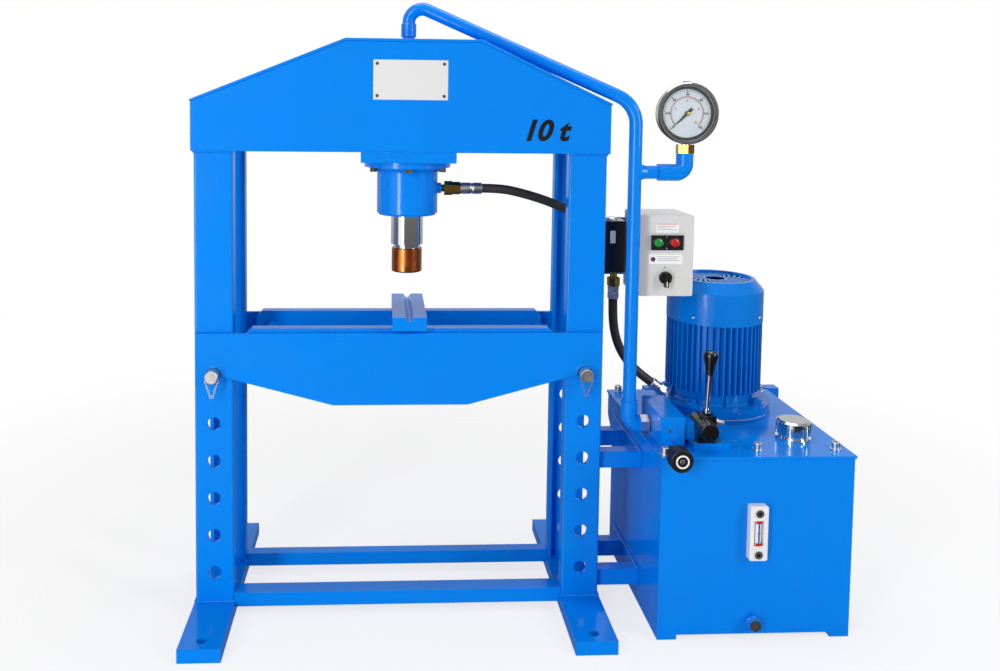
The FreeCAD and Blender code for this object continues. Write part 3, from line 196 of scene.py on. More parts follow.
BLACK_INK = moulded("black_screen_ink", "#0B0B0C", "#131315", 0.4, 2.0, 0.08)
GREY_INK = moulded("grey_screen_ink", "#9A9BA2", "#A2A3AA", 0.4, 2.0, 0.08)
RED_INK = moulded("red_screen_ink", "#D21F1B", "#C21813", 0.4, 2.0, 0.08)
BLUE_OIL = moulded("blue_level_column", "#0F5FC0", "#0A48A0", 0.15, 3.0, 0.1, 0.5)
WHITE_PAINT = moulded("white_index_paint", "#F5F5F5", "#EBEBEB", 0.4, 3.0, 0.06)
GREEN = moulded("green_gloss_plastic", "#1C9A3C", "#188B35", 0.16, 10.0, 0.02, 0.6)
RED = moulded("red_gloss_plastic", "#D11A1E", "#BE1418", 0.16, 10.0, 0.02, 0.6)
GLASS = clear_glass()


# ---------------------------------------------------------------- pieces from CAD nodes
def piece_of(name, mesh, body, slot, *nodes):
    # a finished mesh as a piece that rides on its body
    piece = bpy.data.objects.new(name, mesh)
    scene.collection.objects.link(piece)
    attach(piece, body)
    if nodes:
        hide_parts(*nodes)


def baked(name, mesh, apply):
    # the mesh that a modifier makes, as plain data
    work = bpy.data.objects.new(name + "_work", mesh)
    scene.collection.objects.link(work)
    apply(work)
    done = bpy.data.meshes.new_from_object(work.evaluated_get(bpy.context.evaluated_depsgraph_get()))
    work.modifiers.clear()
    bpy.data.objects.remove(work)
    done.name = name
    return done


def rounded(node, body, slot, material, edge_mm):
    # the node's own shape, its loose triangles merged and its edges broken by a small round
    bm = bmesh.new()
    bm.from_mesh(NODES[node].data)
    bmesh.ops.remove_doubles(bm, verts=bm.verts, dist=2e-6)
    bmesh.ops.dissolve_limit(bm, angle_limit=math.radians(0.6), verts=bm.verts, edges=bm.edges)
    for face in bm.faces:
        face.material_index = 0
        face.smooth = True
    for edge in bm.edges:
        edge.smooth = len(edge.link_faces) == 2 and edge.calc_face_angle(0.0) < SHARP
    flat = bpy.data.meshes.new(node + "_merged")
    bm.to_mesh(flat)
    bm.free()
    flat.materials.append(material)

    def break_edges(work):
        bevel = work.modifiers.new("edge", "BEVEL")
        bevel.width = edge_mm / 1000.0
        bevel.segments = 2
        bevel.limit_method = "ANGLE"
        bevel.angle_limit = SHARP
        bevel.harden_normals = True

    piece_of(node + "_rounded", baked(node + "_rounded", flat, break_edges), body, slot, node)


ROUNDED = [
    # node, body, material, round in mm
    ("feet", "frame", ENAMEL, 3.0), ("stretchers", "frame", ENAMEL, 1.5),
    ("crown_front_plate", "frame", ENAMEL, 2.0), ("crown_rear_plate", "frame", ENAMEL, 1.2),
    ("crown_cover", "frame", ENAMEL, 1.2),
    ("nameplate", "frame", LACQUERED, 0.4), ("cylinder_mount_plate", "frame", ENAMEL, 1.5),
    ("bed_front_plate", "bed", ENAMEL, 2.0), ("bed_rear_plate", "bed", ENAMEL, 1.2),
    ("bed_rails", "bed", ENAMEL, 1.8), ("v_block", "bed", ENAMEL, 1.2),
    ("tank_brackets", "frame", ENAMEL, 1.5), ("tank_shell", "frame", ENAMEL, 1.5),
    ("tank_cover", "frame", ENAMEL, 2.2), ("side_bracket", "frame", ENAMEL, 1.2),
    ("junction_block", "frame", PHOSPHATE, 1.0), ("control_box", "frame", POWDER, 1.0),
    ("button_base", "frame", PLASTIC, 1.0), ("cylinder_bolts", "frame", DARK_STEEL, 0.6),
]
PAINTED = [
    ("upright_left", ENAMEL), ("upright_right", ENAMEL), ("cylinder_barrel", ENAMEL), ("cylinder_gland", ENAMEL),
    ("ram", CHROME), ("ram_nose", COPPER), ("bed_spacers", ENAMEL), ("support_pin_left", PIN_STEEL),
    ("support_pin_right", PIN_STEEL), ("tank_fasteners", ZINC), ("level_gauge", NYLON), ("filler_neck", CHROME),
    ("filler_cap", STAINLESS), ("motor_flange", CAST_ENAMEL), ("motor_frame", CAST_ENAMEL),
    ("motor_cowl", CAST_ENAMEL), ("motor_shaft", PIN_STEEL), ("motor_fan", PLASTIC), ("pump", CAST_ENAMEL),
    ("pressure_pipe", ENAMEL), ("pipe_fittings", ENAMEL), ("union_nut", ZINC), ("gauge_branch", ENAMEL),
    ("gauge_case", STAINLESS), ("gauge_dial", DIAL), ("gauge_glass", GLASS), ("gauge_needle", BLACK_INK),
    ("manifold", ENAMEL), ("throttle_knob", PLASTIC), ("valve_body", PHOSPHATE), ("valve_lever", STAINLESS),
    ("lever_knob", PHENOLIC), ("brass_nuts", BRASS), ("hose_ferrules", ZINC), ("hose_adaptors", ZINC),
    ("button_green", GREEN), ("button_red", RED), ("selector", PLASTIC),
]
SLOT_OF = {part["node"]: part["material_slot"] for part in frame["record"]["subparts"]}
for node, body, material, edge_mm in ROUNDED:
    rounded(node, body, SLOT_OF[node], material, edge_mm)
for node, material in PAINTED:
    for place in NODES[node].material_slots:
        place.material = material


# ---------------------------------------------------------------- hoses
def hose(name, route_mm):
    # a rubber hose as one smooth line through its route, swept round
    curve = bpy.data.curves.new(name + "_line", "CURVE")
    curve.dimensions = "3D"
    spline = curve.splines.new("NURBS")
    spline.points.add(len(route_mm) - 1)
    for point, spot in zip(spline.points, route_mm):
        point.co = (spot[0] / 1000.0, spot[1] / 1000.0, spot[2] / 1000.0, 1.0)
    spline.order_u = 3
    spline.use_endpoint_u = True
    spline.resolution_u = 16
    curve.bevel_depth = 0.010
    curve.bevel_resolution = 8
    curve.use_fill_caps = True
    curve.materials.append(HOSE_RUBBER)
    piece = bpy.data.objects.new(name + "_rubber", curve)
    scene.collection.objects.link(piece)
    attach(piece, "frame")
    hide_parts(name)


hose("hose_1", [(176.3, 0, 903), (216.3, 0, 903), (262.3, 3, 893.5), (307.3, 9, 880), (342.3, 15, 867),
                (375.3, 21, 853)])
hose("hose_2", [(480, 24, 653), (480, 24, 608), (489, 24, 558), (510, 24, 516), (542, 26, 482), (572, 27, 460)])


# ---------------------------------------------------------------- trees for what repeats
def start_tree(name, sockets):
    tree = bpy.data.node_groups.new(name, "GeometryNodeTree")
    for label, kind in sockets:
        tree.interface.new_socket(label, in_out="INPUT", socket_type="NodeSocket" + kind)
    tree.interface.new_socket("Geometry", in_out="OUTPUT", socket_type="NodeSocketGeometry")
    return tree, add(tree, "NodeGroupInput").outputs


def end_tree(tree, instances, material):
    real = add(tree, "GeometryNodeRealizeInstances", links={"Geometry": instances})
    coated = add(tree, "GeometryNodeSetMaterial", links={"Geometry": real.outputs["Geometry"],
                                                         "Material": material})
    add(tree, "NodeGroupOutput", links={"Geometry": coated.outputs["Geometry"]})
    return tree


def bars_tree():
    # bars set round an axis along Y, counted clockwise from the top: dial marks, knurls and square frames
    tree, given = start_tree("bars_round_axis", [
        ("Count", "Int"), ("First", "Float"), ("Step", "Float"), ("Radius", "Float"), ("Size", "Vector"),
        ("Centre", "Vector"), ("Material", "Material")])
    line = add(tree, "GeometryNodeMeshLine", links={"Count": given["Count"]})
    index = add(tree, "GeometryNodeInputIndex").outputs["Index"]
    turn = add(tree, "ShaderNodeMath", links={0: index, 1: given["Step"], 2: given["First"]},
               operation="MULTIPLY_ADD").outputs["Value"]
    across = add(tree, "ShaderNodeMath", links={0: turn}, operation="SINE").outputs["Value"]
    rise = add(tree, "ShaderNodeMath", links={0: turn}, operation="COSINE").outputs["Value"]
    spoke = add(tree, "ShaderNodeCombineXYZ", links={"X": across, "Z": rise}).outputs["Vector"]
    reach = add(tree, "ShaderNodeVectorMath", links={0: spoke, "Scale": given["Radius"]}, operation="SCALE")
    spot = add(tree, "ShaderNodeVectorMath", links={0: reach.outputs["Vector"], 1: given["Centre"]},
               operation="ADD")
    placed = add(tree, "GeometryNodeSetPosition", links={"Geometry": line.outputs["Mesh"],
                                                         "Position": spot.outputs["Vector"]})
    angles = add(tree, "ShaderNodeCombineXYZ", links={"Y": turn}).outputs["Vector"]
    facing = add(tree, "FunctionNodeEulerToRotation", links={"Euler": angles}).outputs["Rotation"]
    bar = add(tree, "GeometryNodeMeshCube", links={"Size": given["Size"]})
    bars = add(tree, "GeometryNodeInstanceOnPoints", links={
        "Points": placed.outputs["Geometry"], "Instance": bar.outputs["Mesh"], "Rotation": facing})
    return end_tree(tree, bars.outputs["Instances"], given["Material"])


def heads_tree(domed):
    # heads centred on given places: domed rivets, or flat screws and plugs with a number of sides
    sides = [] if domed else [("Sides", "Int")]
    tree, given = start_tree("rivet_heads" if domed else "screw_heads", [
        ("Places", "Geometry"), ("Radius", "Float"), ("Height", "Float"), ("Turn", "Vector"),
        ("Material", "Material")] + sides)
    if domed:
        ball = add(tree, "GeometryNodeMeshUVSphere", {"Segments": 20, "Rings": 12}, {"Radius": given["Radius"]})
        ratio = add(tree, "ShaderNodeMath", links={0: given["Height"], 1: given["Radius"]}, operation="DIVIDE")
        squash = add(tree, "ShaderNodeCombineXYZ", {"X": 1.0, "Y": 1.0}, {"Z": ratio.outputs["Value"]})
        head = add(tree, "GeometryNodeTransform", links={"Geometry": ball.outputs["Mesh"],
                                                         "Scale": squash.outputs["Vector"]})
        shape = add(tree, "GeometryNodeSetShadeSmooth", links={"Geometry": head.outputs["Geometry"]})
        shape = shape.outputs["Geometry"]
    else:
        shape = add(tree, "GeometryNodeMeshCylinder", links={"Vertices": given["Sides"], "Radius": given["Radius"],
                                                             "Depth": given["Height"]}).outputs["Mesh"]
    facing = add(tree, "FunctionNodeEulerToRotation", links={"Euler": given["Turn"]}).outputs["Rotation"]
    heads = add(tree, "GeometryNodeInstanceOnPoints", links={
        "Points": given["Places"], "Instance": shape, "Rotation": facing})
    return end_tree(tree, heads.outputs["Instances"], given["Material"])


def weld_tree():
    # a weld bead along a path: overlapping ripples, each a little different
    tree, given = start_tree("weld_ripples", [
        ("Path", "Geometry"), ("Radius", "Float"), ("Pitch", "Float"), ("Seed", "Int"), ("Material", "Material")])
    line = add(tree, "GeometryNodeMeshToCurve", links={"Mesh": given["Path"]})
    even = add(tree, "GeometryNodeResampleCurve", links={"Curve": line.outputs["Curve"], "Length": given["Pitch"]},
               mode="LENGTH")
    ball = add(tree, "GeometryNodeMeshIcoSphere", {"Subdivisions": 2}, {"Radius": given["Radius"]})
    smooth = add(tree, "GeometryNodeSetShadeSmooth", links={"Geometry": ball.outputs["Mesh"]})
    size = add(tree, "FunctionNodeRandomValue", {2: 0.85, 3: 1.1}, {"Seed": given["Seed"]}, data_type="FLOAT")
    along = add(tree, "GeometryNodeInputTangent").outputs["Tangent"]
    facing = add(tree, "FunctionNodeAlignRotationToVector", links={"Vector": along}, axis="X")
    squeezed = add(tree, "GeometryNodeTransform", {"Scale": (0.7, 1.0, 1.0)},
                   {"Geometry": smooth.outputs["Geometry"]})
    beads = add(tree, "GeometryNodeInstanceOnPoints", links={
        "Points": even.outputs["Curve"], "Instance": squeezed.outputs["Geometry"],
        "Rotation": facing.outputs["Rotation"], "Scale": size.outputs[1]})
    return end_tree(tree, beads.outputs["Instances"], given["Material"])


BARS, SCREWS, RIVETS, WELD = bars_tree(), heads_tree(False), heads_tree(True), weld_tree()


def grown(name, tree, mesh, body, slot, **values):
    # one piece made by a tree, with its inputs set by the sockets' identifiers
    def set_inputs(work):
        modifier = work.modifiers.new("nodes", "NODES")
        modifier.node_group = tree
        names = {item.name: item.identifier for item in tree.interface.items_tree if item.in_out == "INPUT"}
        for key, value in values.items():
            modifier[names[key]] = value

    piece_of(name, baked(name, mesh, set_inputs), body, slot)


def mm(*numbers):
    return tuple(n / 1000.0 for n in numbers)


def bars(name, body, slot, material, centre, radius, size, count, first=0.0, step=None):
    step = 360.0 / count if step is None else step
    grown(name, BARS, bpy.data.meshes.new(name + "_seed"), body, slot, Count=count, First=math.radians(first),
          Step=math.radians(step), Radius=radius / 1000.0, Size=mm(*size), Centre=mm(*centre), Material=material)


TO_FRONT, TO_LEFT, TO_TOP = (math.pi / 2, 0, 0), (0, -math.pi / 2, 0), (0, 0, 0)


def heads(name, tree, body, slot, material, places, radius, height, sides=24, turn=TO_FRONT):
    mesh = bpy.data.meshes.new(name + "_places")
    mesh.from_pydata([mm(*spot) for spot in places], [], [])
    values = dict(Radius=radius / 1000.0, Height=height / 1000.0, Turn=turn, Material=material)
    if tree == SCREWS:
        values["Sides"] = sides
    grown(name, tree, mesh, body, slot, **values)


def weld(name, body, paths, radius, seed):
    # paths are open lines of points; a ring is closed by repeating its first point
    verts, edges = [], []
    for path in paths:
        start = len(verts)
        verts += [mm(*spot) for spot in path]
        edges += [(start + i, start + i + 1) for i in range(len(path) - 1)]
    mesh = bpy.data.meshes.new(name + "_path")
    mesh.from_pydata(verts, edges, [])
    grown(name, WELD, mesh, body, "blue", Radius=radius / 1000.0, Pitch=radius * 0.55 / 1000.0, Seed=seed,
          Material=ENAMEL)


def ring_path(centre, radius, axis, steps=48):
    out = []
    for i in range(steps + 1):
        a = math.tau * i / steps
        u, v = radius * math.cos(a), radius * math.sin(a)
        offset = {"X": (0, u, v), "Y": (u, 0, v), "Z": (u, v, 0)}[axis]
        out.append(tuple(c + o for c, o in zip(centre, offset)))
    return out


# ---------------------------------------------------------------- flat and turned additions
def plate(name, body, slot, material, x0, x1, z0, z1, y, thick, corner=0.0):
    # a thin plate or printed field that faces the front, with round corners
    corners = []
    for cx, cz, start in ((x1, z1, 0), (x0, z1, 90), (x0, z0, 180), (x1, z0, 270)):
        sx, sz = (-1 if cx == x1 else 1), (-1 if cz == z1 else 1)
        for k in range(7 if corner else 1):
            a = math.radians(start + 15.0 * k)
            corners.append((cx + sx * corner + corner * math.cos(a), cz + sz * corner + corner * math.sin(a)))
    bm = bmesh.new()
    back = [bm.verts.new(mm(x, y, z)) for x, z in corners]
    front = [bm.verts.new(mm(x, y - thick, z)) for x, z in corners]
    bm.faces.new(front)
    bm.faces.new(back)
    for i in range(len(corners)):
        bm.faces.new((back[i - 1], back[i], front[i], front[i - 1]))
    bmesh.ops.recalc_face_normals(bm, faces=bm.faces)
    mesh = bpy.data.meshes.new(name)
    bm.to_mesh(mesh)
    bm.free()
    mesh.materials.append(material)
    piece_of(name, mesh, body, slot)


def turned(name, body, slot, material, centre, profile, axis="Y", steps=64):
    # a closed ring turned from a profile of (radius, distance along the axis)
    bm = bmesh.new()
    rows = []
    for i in range(steps):
        a = math.tau * i / steps
        row = []
        for r, h in profile:
            u, v = r * math.cos(a), r * math.sin(a)
            offset = {"X": (h, u, v), "Y": (u, h, v), "Z": (u, v, h)}[axis]
            row.append(bm.verts.new(mm(*(c + o for c, o in zip(centre, offset)))))
        rows.append(row)
    n = len(profile)
    for i in range(steps):
        for k in range(n):
            a, b = rows[i], rows[(i + 1) % steps]
            bm.faces.new((a[k], a[(k + 1) % n], b[(k + 1) % n], b[k]))
    bmesh.ops.remove_doubles(bm, verts=bm.verts, dist=1e-7)
    bmesh.ops.recalc_face_normals(bm, faces=bm.faces)
    for face in bm.faces:
        face.smooth = True
    for edge in bm.edges:
        edge.smooth = len(edge.link_faces) == 2 and edge.calc_face_angle(0.0) < SHARP
    mesh = bpy.data.meshes.new(name)
    bm.to_mesh(mesh)
    bm.free()
    mesh.materials.append(material)
    piece_of(name, mesh, body, slot)


CAPITAL = 0.70                      # height of a capital over the size of the built-in font


def lettering(name, body, slot, material, words, height, spots, y, weight=0.0, slant=0.0):
    # painted letters that face the front, each word centred on its spot, all in one mesh
    bm = bmesh.new()
    for word, (x, z) in zip(words, spots):
        curve = bpy.data.curves.new(name + "_word", "FONT")
        curve.body = word
        curve.size = height / 1000.0 / CAPITAL
        curve.extrude = 0.00015
        curve.offset = weight / 1000.0
        curve.shear = slant
        curve.resolution_u = 4
        work = bpy.data.objects.new(name + "_word", curve)
        scene.collection.objects.link(work)
        mesh = bpy.data.meshes.new_from_object(work.evaluated_get(bpy.context.evaluated_depsgraph_get()))
        bpy.data.objects.remove(work)
        xs = [v.co.x for v in mesh.vertices]
        ys = [v.co.y for v in mesh.vertices]
        centre = Vector(((min(xs) + max(xs)) / 2, (min(ys) + max(ys)) / 2, 0.0))
        mesh.transform(Matrix.Translation(-centre))
        mesh.transform(Matrix.Translation(mm(x, y, z)) @ Matrix.Rotation(math.pi / 2, 4, "X"))
        bm.from_mesh(mesh)
    done = bpy.data.meshes.new(name)
    bm.to_mesh(done)
    bm.free()
    done.materials.append(material)
    piece_of(name, done, body, slot)


# ---------------------------------------------------------------- places
BARREL_X = 12.5
PIPE_X, PIPE_Y = 491, -88
GAUGE_X, GAUGE_Z = 597, 1072
DIAL_Y = -94.25                     # print stands 0.25 in front of the dial
BOX_FRONT = -60.0
BUTTON_FRONT, BUTTON_Z = -65.0, 793.5
LEVEL_X, LEVEL_Y = 722.5, -229.6
LEVEL_SCREW_Z = (183.5, 269.0)
THROTTLE_X, THROTTLE_Z = 551, 389.5
MOTOR_X, MOTOR_Y = 737, 85


def on_dial(radius, angles):
    # places round the dial, clockwise from its top
    return [(GAUGE_X + radius * math.sin(math.radians(a)), GAUGE_Z + radius * math.cos(math.radians(a)))
            for a in angles]


# ---------------------------------------------------------------- crown
heads("nameplate_rivets", RIVETS, "frame", "steel", DARK_STEEL,
      [(x, -104.5, z) for x in (-54, 84) for z in (1102, 1168)], 3.4, 1.8)
lettering("capacity_mark", "frame", "black", BLACK_INK, ["10 t"], 41.5, [(304, 1033.8)], -103.2, 2.2, 0.3)
weld("crown_welds", "frame", [[(s * 430, y, 983.6), (s * 350, y, 983.6)] for y in (-96.5, 96.5) for s in (-1, 1)],
     2.6, 3)
weld("mount_plate_welds", "frame", [[(-86, y, 985), (111, y, 985)] for y in (-102.8, 102.8)], 1.2, 5)
weld("crown_port_weld", "frame", [ring_path((BARREL_X, 0, 1219.5), 17.5, "Z")], 2.2, 7)
weld("barrel_weld", "frame", [ring_path((BARREL_X, 0, 942.0), 67.0, "Z")], 2.2, 9)

# ---------------------------------------------------------------- frame and brackets
weld("foot_welds", "frame", [
    [(s * 390 - 41, y * 66, 28.6), (s * 390 - 41, y * 95.5, 28.6), (s * 390 + 41, y * 95.5, 28.6),
     (s * 390 + 41, y * 66, 28.6)] for s in (-1, 1) for y in (-1, 1)], 2.6, 11)
weld("bracket_welds", "frame", [
    [(430.8, y, z - 36), (430.8, y, z + 0.6), (430.8, y + 30, z + 0.6)] for y in (-80.6, 44.4) for z in (340, 78)],
     2.2, 13)

# ---------------------------------------------------------------- pipe, union and gauge
weld("pipe_welds", "frame",
     [ring_path((PIPE_X, PIPE_Y, 455), 15.6, "Z"), ring_path((505, PIPE_Y, 947), 15.0, "X")], 1.6, 15)
turned("union_washer", "frame", "copper", COPPER, (532.2, PIPE_Y, 405),
       [(14.0, 0), (15.4, 0.4), (15.4, 3.2), (14.0, 3.6)], "X")
# a black ring on the dial just inside the bezel: painted shadow that the bezel casts on the dial
turned("gauge_shadow_ring", "frame", "black", BLACK_INK, (GAUGE_X, -94, GAUGE_Z),
       [(51.0, -0.3), (57.5, -1.6), (57.5, -0.1), (51.0, 0.1)])
# the nut under the gauge is brass, and the blow-out plug on its top is black
heads("gauge_nut_sleeve", SCREWS, "frame", "brass", BRASS, [(GAUGE_X, PIPE_Y, 997)], 19.4, 18.2, 6,
      (0, 0, math.pi / 2))
heads("gauge_plug_cap", SCREWS, "frame", "black", PLASTIC, [(GAUGE_X, PIPE_Y, 1136.4)], 8.4, 5.6, 24, TO_TOP)
for name, slot, ink, radius, size, count, step in (
        ("long_marks", "black", BLACK_INK, 46.8, (1.3, 0.3, 6.4), 7, 45),
        ("short_marks", "black", BLACK_INK, 48.2, (0.7, 0.3, 3.6), 61, 4.5),
        ("inner_marks", "red", RED_INK, 33.6, (0.7, 0.3, 3.4), 55, 5),
        ("inner_band", "red", RED_INK, 35.4, (1.2, 0.3, 0.8), 271, 1)):
    bars("gauge_" + name, "frame", slot, ink, (GAUGE_X, DIAL_Y, GAUGE_Z), radius, size, count, -135, step)
lettering("gauge_numbers", "frame", "black", BLACK_INK, ["0", "10", "20", "30", "40", "50", "60"], 5.6,
          on_dial(40.4, range(-135, 136, 45)), DIAL_Y, 0.12)
lettering("gauge_inner_numbers", "frame", "red", RED_INK, ["0", "2", "4", "6", "8"], 5.0,
          on_dial(27.0, (-135, -67.5, 0, 67.5, 135)), DIAL_Y, 0.08)
turned("needle_cap", "needle", "brass", BRASS, (GAUGE_X, -98.5, GAUGE_Z),
       [(0.01, 0.2), (4.0, 0.2), (3.6, -0.8), (2.0, -1.4), (0.01, -1.6)])

# ---------------------------------------------------------------- control box
plate("upper_label", "frame", "white", FILM, 548.3, 598.2, 814.7, 835.8, BOX_FRONT, 0.4, 1.5)
plate("upper_label_line", "frame", "red", RED_INK, 549.5, 597.0, 832.6, 834.2, BOX_FRONT - 0.4, 0.15)
plate("lower_label", "frame", "white", FILM, 533.6, 608.0, 746.0, 767.0, BOX_FRONT, 0.4, 1.5)
plate("lower_label_mark", "frame", "black", BLACK_INK, 538.5, 548.5, 751.5, 761.5, BOX_FRONT - 0.4, 0.15, 4.9)
plate("lower_label_centre", "frame", "red", RED_INK, 541.3, 545.7, 754.3, 758.7, BOX_FRONT - 0.55, 0.15, 2.1)
for i, (x0, x1, z) in enumerate([(551, 590, 827.5), (551, 580, 824.0), (551, 593, 820.5),
                                 (553, 603, 761.5), (553, 597, 757.5), (553, 601, 753.5)]):
    plate("label_line_%d" % (i + 1), "frame", "grey", GREY_INK, x0, x1, z, z + 1.1, BOX_FRONT - 0.4, 0.12)
for side, x in (("left", 553.0), ("right", 589.0)):
    bars("button_frame_" + side, "frame", "black", PLASTIC, (x, BUTTON_FRONT - 0.6, BUTTON_Z), 13.6,
         (29.0, 1.6, 1.8), 4)
    turned("button_bezel_" + side, "frame", "black", PLASTIC, (x, BUTTON_FRONT, BUTTON_Z),
           [(9.4, 0.2), (9.4, -1.4), (10.6, -2.2), (11.8, -1.4), (12.2, 0.2)])
heads("button_base_screws", SCREWS, "frame", "steel", ZINC,
      [(571, BUTTON_FRONT - 0.3, z) for z in (806.2, 780.8)], 1.9, 0.9, 16)
heads("selector_dot", RIVETS, "frame", "black", BLACK_INK, [(570, BOX_FRONT, 739)], 1.6, 0.5)
plate("selector_index", "selector_switch", "white", WHITE_PAINT, 569.1, 570.9, 699.5, 711.0, -78.3, 0.2, 0.6)

# ---------------------------------------------------------------- junction block
plate("block_sticker", "frame", "white", FILM, 466, 478, 781, 809, 6.0, 0.3, 1.0)
heads("block_top_screw", RIVETS, "frame", "steel", ZINC, [(475, 36, 831)], 13.4, 6.8, turn=TO_TOP)

# ---------------------------------------------------------------- level gauge on the tank
heads("level_screws", SCREWS, "frame", "steel", ZINC,
      [(LEVEL_X, LEVEL_Y - 1.2, z) for z in LEVEL_SCREW_Z], 8.2, 2.4, 32)
# black hexagons laid on the screw heads: painted shade in their socket recesses
heads("level_socket_shade", SCREWS, "frame", "black", BLACK_INK,
      [(LEVEL_X, LEVEL_Y - 2.3, z) for z in LEVEL_SCREW_Z], 3.9, 0.4, 6)
for end, z in (("low", 201.5), ("high", 247.5)):
    plate("level_band_" + end, "frame", "red", RED_INK, 716.0, 729.0, z, z + 6.0, LEVEL_Y + 0.1, 0.5, 1.0)
plate("level_column", "frame", "blue", BLUE_OIL, 721.0, 724.0, 207.5, 247.5, LEVEL_Y + 0.1, 0.4, 0.8)
turned("drain_boss", "frame", "blue", ENAMEL, (720, LEVEL_Y + 15.0, 37),
       [(9.0, 0.5), (9.0, -9.5), (13.6, -9.5), (14.6, -8.5), (14.6, 0.5)])
bars("level_scale", "frame", "blue", BLUE_OIL, (LEVEL_X, LEVEL_Y - 0.2, 227.5), 0.0, (8.0, 0.3, 1.0), 1)

# ---------------------------------------------------------------- manifold, valve and throttle
heads("manifold_plugs", SCREWS, "frame", "steel", ZINC, [(555, -168.2, 417)], 3.4, 0.8, 24)
heads("manifold_side_plug", SCREWS, "frame", "steel", ZINC, [(535.8, -151, 437)], 3.4, 0.8, 24, TO_LEFT)
heads("sub_plate_screws", SCREWS, "frame", "brass", BRASS,
      [(604.5, -178, 399.2), (654.5, -178, 399.2), (664, -128, 399.2)], 3.6, 4.4, 24, TO_TOP)
heads("valve_vent_screw", SCREWS, "frame", "brass", BRASS, [(620.0, -162, 444.5)], 3.4, 8.0, 6, TO_TOP)
turned("throttle_ring", "throttle", "white", WHITE_PAINT, (THROTTLE_X, -261.0, THROTTLE_Z),
       [(10.4, 0.8), (10.4, -0.1), (13.6, -0.1), (13.6, 0.8)])
turned("throttle_screw", "throttle", "steel", ZINC, (THROTTLE_X, -261.0, THROTTLE_Z),
       [(0.01, 0.8), (5.1, 0.8), (5.1, 0.1), (4.6, -0.2), (1.9, -0.2), (1.6, -0.05), (0.01, -0.05)])
bars("throttle_knurl", "throttle", "black", PLASTIC, (THROTTLE_X, -245, THROTTLE_Z), 22.6, (2.0, 25.0, 1.6), 38)

# ---------------------------------------------------------------- motor
heads("cowl_screws", RIVETS, "frame", "steel", ZINC,
      [(MOTOR_X + 108.0 * math.cos(math.radians(a)), MOTOR_Y + 108.0 * math.sin(math.radians(a)), 611)
       for a in (-45, 45, 135, 225)], 3.6, 3.6)
weld("motor_ring_weld", "frame", [ring_path((MOTOR_X, MOTOR_Y, 381.4), 129.0, "Z")], 1.6, 17)
turned("motor_gasket", "frame", "white", FILM, (MOTOR_X, MOTOR_Y, 393.0),
       [(124.0, -0.9), (126.6, -0.9), (126.6, 0.9), (124.0, 0.9)], "Z")


# ---------------------------------------------------------------- light and floor
def light_world():
    # white for the camera and through glass, a shaded room in reflections, a plain grey light otherwise
    world = bpy.data.worlds.new("studio")
    world.use_nodes = True
    tree = world.node_tree
    tree.nodes.clear()
    path = add(tree, "ShaderNodeLightPath")
    seen = add(tree, "ShaderNodeMath", links={0: path.outputs["Is Camera Ray"],
                                              1: path.outputs["Is Transmission Ray"]}, operation="MAXIMUM")
    where = add(tree, "ShaderNodeTexCoord").outputs["Generated"]
    split = add(tree, "ShaderNodeSeparateXYZ", links={"Vector": where})
    # what polished faces see: dim towards the camera, bright behind the object and overhead
    back = add(tree, "ShaderNodeMapRange", {"From Min": -0.1, "From Max": 0.75, "To Min": 0.22, "To Max": 0.7},
               {"Value": split.outputs["Y"]}, interpolation_type="SMOOTHSTEP")
    over = add(tree, "ShaderNodeMapRange", {"From Min": 0.35, "From Max": 0.9, "To Min": 0.0, "To Max": 0.5},
               {"Value": split.outputs["Z"]}, interpolation_type="SMOOTHSTEP")
    # one bright window to the front left puts a long light strip on the ram, the cylinder and the pipe
    left = add(tree, "ShaderNodeMapRange", {"From Min": -0.25, "From Max": -0.45, "To Min": 0.0, "To Max": 1.0},
               {"Value": split.outputs["X"]}, interpolation_type="SMOOTHSTEP")
    front = add(tree, "ShaderNodeMapRange", {"From Min": -0.3, "From Max": -0.5, "To Min": 0.0, "To Max": 1.0},
                {"Value": split.outputs["Y"]}, interpolation_type="SMOOTHSTEP")
    window = add(tree, "ShaderNodeMath", links={0: left.outputs["Result"], 1: front.outputs["Result"]},
                 operation="MULTIPLY")
    # low down the bright back fades out, since a lit floor would haze the enamel
    low = add(tree, "ShaderNodeMapRange", {"From Min": -0.3, "From Max": 0.0, "To Min": 0.15, "To Max": 1.0},
              {"Value": split.outputs["Z"]}, interpolation_type="SMOOTHSTEP")
    rear = add(tree, "ShaderNodeMath", links={0: back.outputs["Result"], 1: low.outputs["Result"]},
               operation="MULTIPLY")
    sides = add(tree, "ShaderNodeMath", links={0: rear.outputs["Value"], 1: window.outputs["Value"]},
                operation="MAXIMUM")
    gloss = add(tree, "ShaderNodeMath", links={0: sides.outputs["Value"], 1: over.outputs["Result"]},
                operation="MAXIMUM")
    strength = add(tree, "ShaderNodeMix", {"A": 0.27}, data_type="FLOAT")
    tree.links.new(path.outputs["Is Glossy Ray"], strength.inputs["Factor"])
    tree.links.new(gloss.outputs["Value"], strength.inputs["B"])
    final = add(tree, "ShaderNodeMix", data_type="FLOAT")
    tree.links.new(seen.outputs["Value"], final.inputs["Factor"])
    tree.links.new(strength.outputs["Result"], final.inputs["A"])
    final.inputs["B"].default_value = 1.0
    shine = add(tree, "ShaderNodeBackground", {"Color": (1, 1, 1, 1)}, {"Strength": final.outputs["Result"]})
    add(tree, "ShaderNodeOutputWorld", links={"Surface": shine.outputs["Background"]})
    scene.world = world


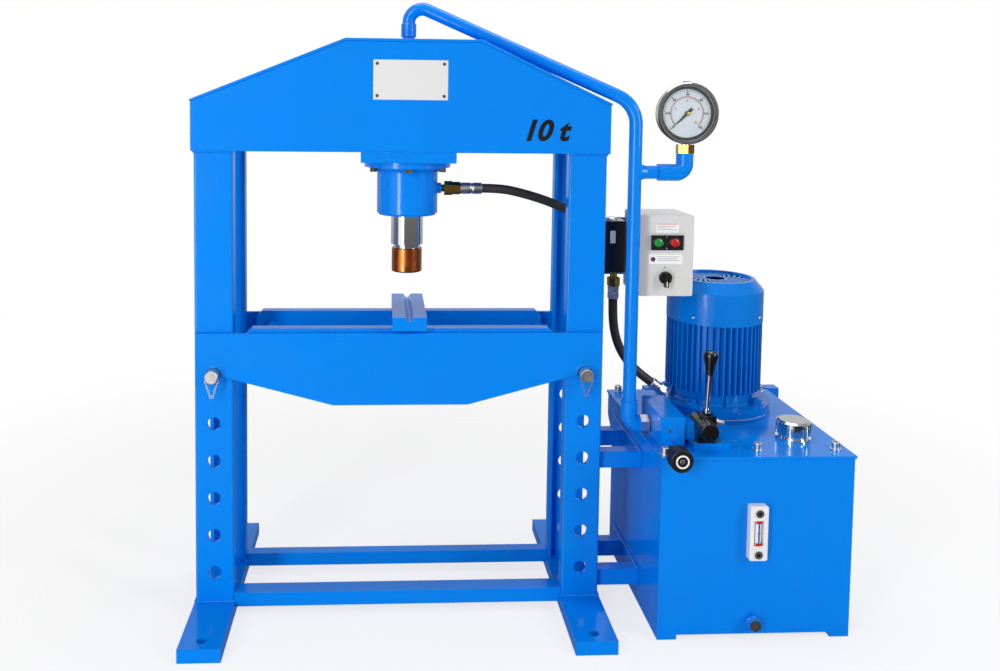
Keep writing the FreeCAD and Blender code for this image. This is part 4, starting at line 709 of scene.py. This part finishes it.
def softbox(name, place, target, size, power):
    lamp = bpy.data.lights.new(name, "AREA")
    lamp.shape = "RECTANGLE"
    lamp.size, lamp.size_y = size
    lamp.energy = power
    box = bpy.data.objects.new(name, lamp)
    scene.collection.objects.link(box)
    direction = Vector(target) - Vector(place)
    box.matrix_world = Matrix.Translation(place) @ direction.to_track_quat("-Z", "Y").to_matrix().to_4x4()
    box.visible_camera = False


def floor():
    # a pale floor that keeps the shadow near the press and fades into the white background
    mesh = bpy.data.meshes.new("floor")
    r = 6.0
    mesh.from_pydata([(-r, -r, 0), (r, -r, 0), (r, r, 0), (-r, r, 0)], [], [(0, 1, 2, 3)])
    piece = bpy.data.objects.new("floor", mesh)
    scene.collection.objects.link(piece)
    material, tree, shader, where = start_material("pale_matt_floor")
    shader.inputs["Base Color"].default_value = linear("#FAFAFA")
    shader.inputs["Roughness"].default_value = 0.8
    shader.inputs["Specular IOR Level"].default_value = 0.1
    away = add(tree, "ShaderNodeVectorMath", {1: (0.25, 0.0, 0.0)}, {0: where}, operation="DISTANCE")
    fade = add(tree, "ShaderNodeMapRange", {"From Min": 0.8, "From Max": 2.2, "To Min": 0.72, "To Max": 1.0},
               {"Value": away.outputs["Value"]}, interpolation_type="SMOOTHSTEP")
    path = add(tree, "ShaderNodeLightPath")
    seen = add(tree, "ShaderNodeMath", links={0: fade.outputs["Result"], 1: path.outputs["Is Camera Ray"]},
               operation="MULTIPLY")
    # polished faces don't see the floor either, so the enamel stays deep
    hidden = add(tree, "ShaderNodeMath", links={0: seen.outputs["Value"], 1: path.outputs["Is Glossy Ray"]},
                 operation="MAXIMUM")
    clear = add(tree, "ShaderNodeBsdfTransparent")
    mix = add(tree, "ShaderNodeMixShader", links={0: hidden.outputs["Value"], 1: shader.outputs["BSDF"],
                                                  2: clear.outputs["BSDF"]})
    out = [n for n in tree.nodes if n.bl_idname == "ShaderNodeOutputMaterial"][0]
    tree.links.new(mix.outputs["Shader"], out.inputs["Surface"])
    mesh.materials.append(material)


light_world()
floor()
softbox("softbox_left", (-1.5, -2.4, 1.1), (0.2, 0.0, 0.7), (0.5, 2.4), 50.0)
softbox("softbox_right", (2.9, -1.9, 1.8), (0.3, 0.0, 0.6), (0.7, 2.0), 40.0)
softbox("softbox_top", (0.3, 0.2, 3.2), (0.3, 0.0, 0.6), (2.4, 1.6), 40.0)
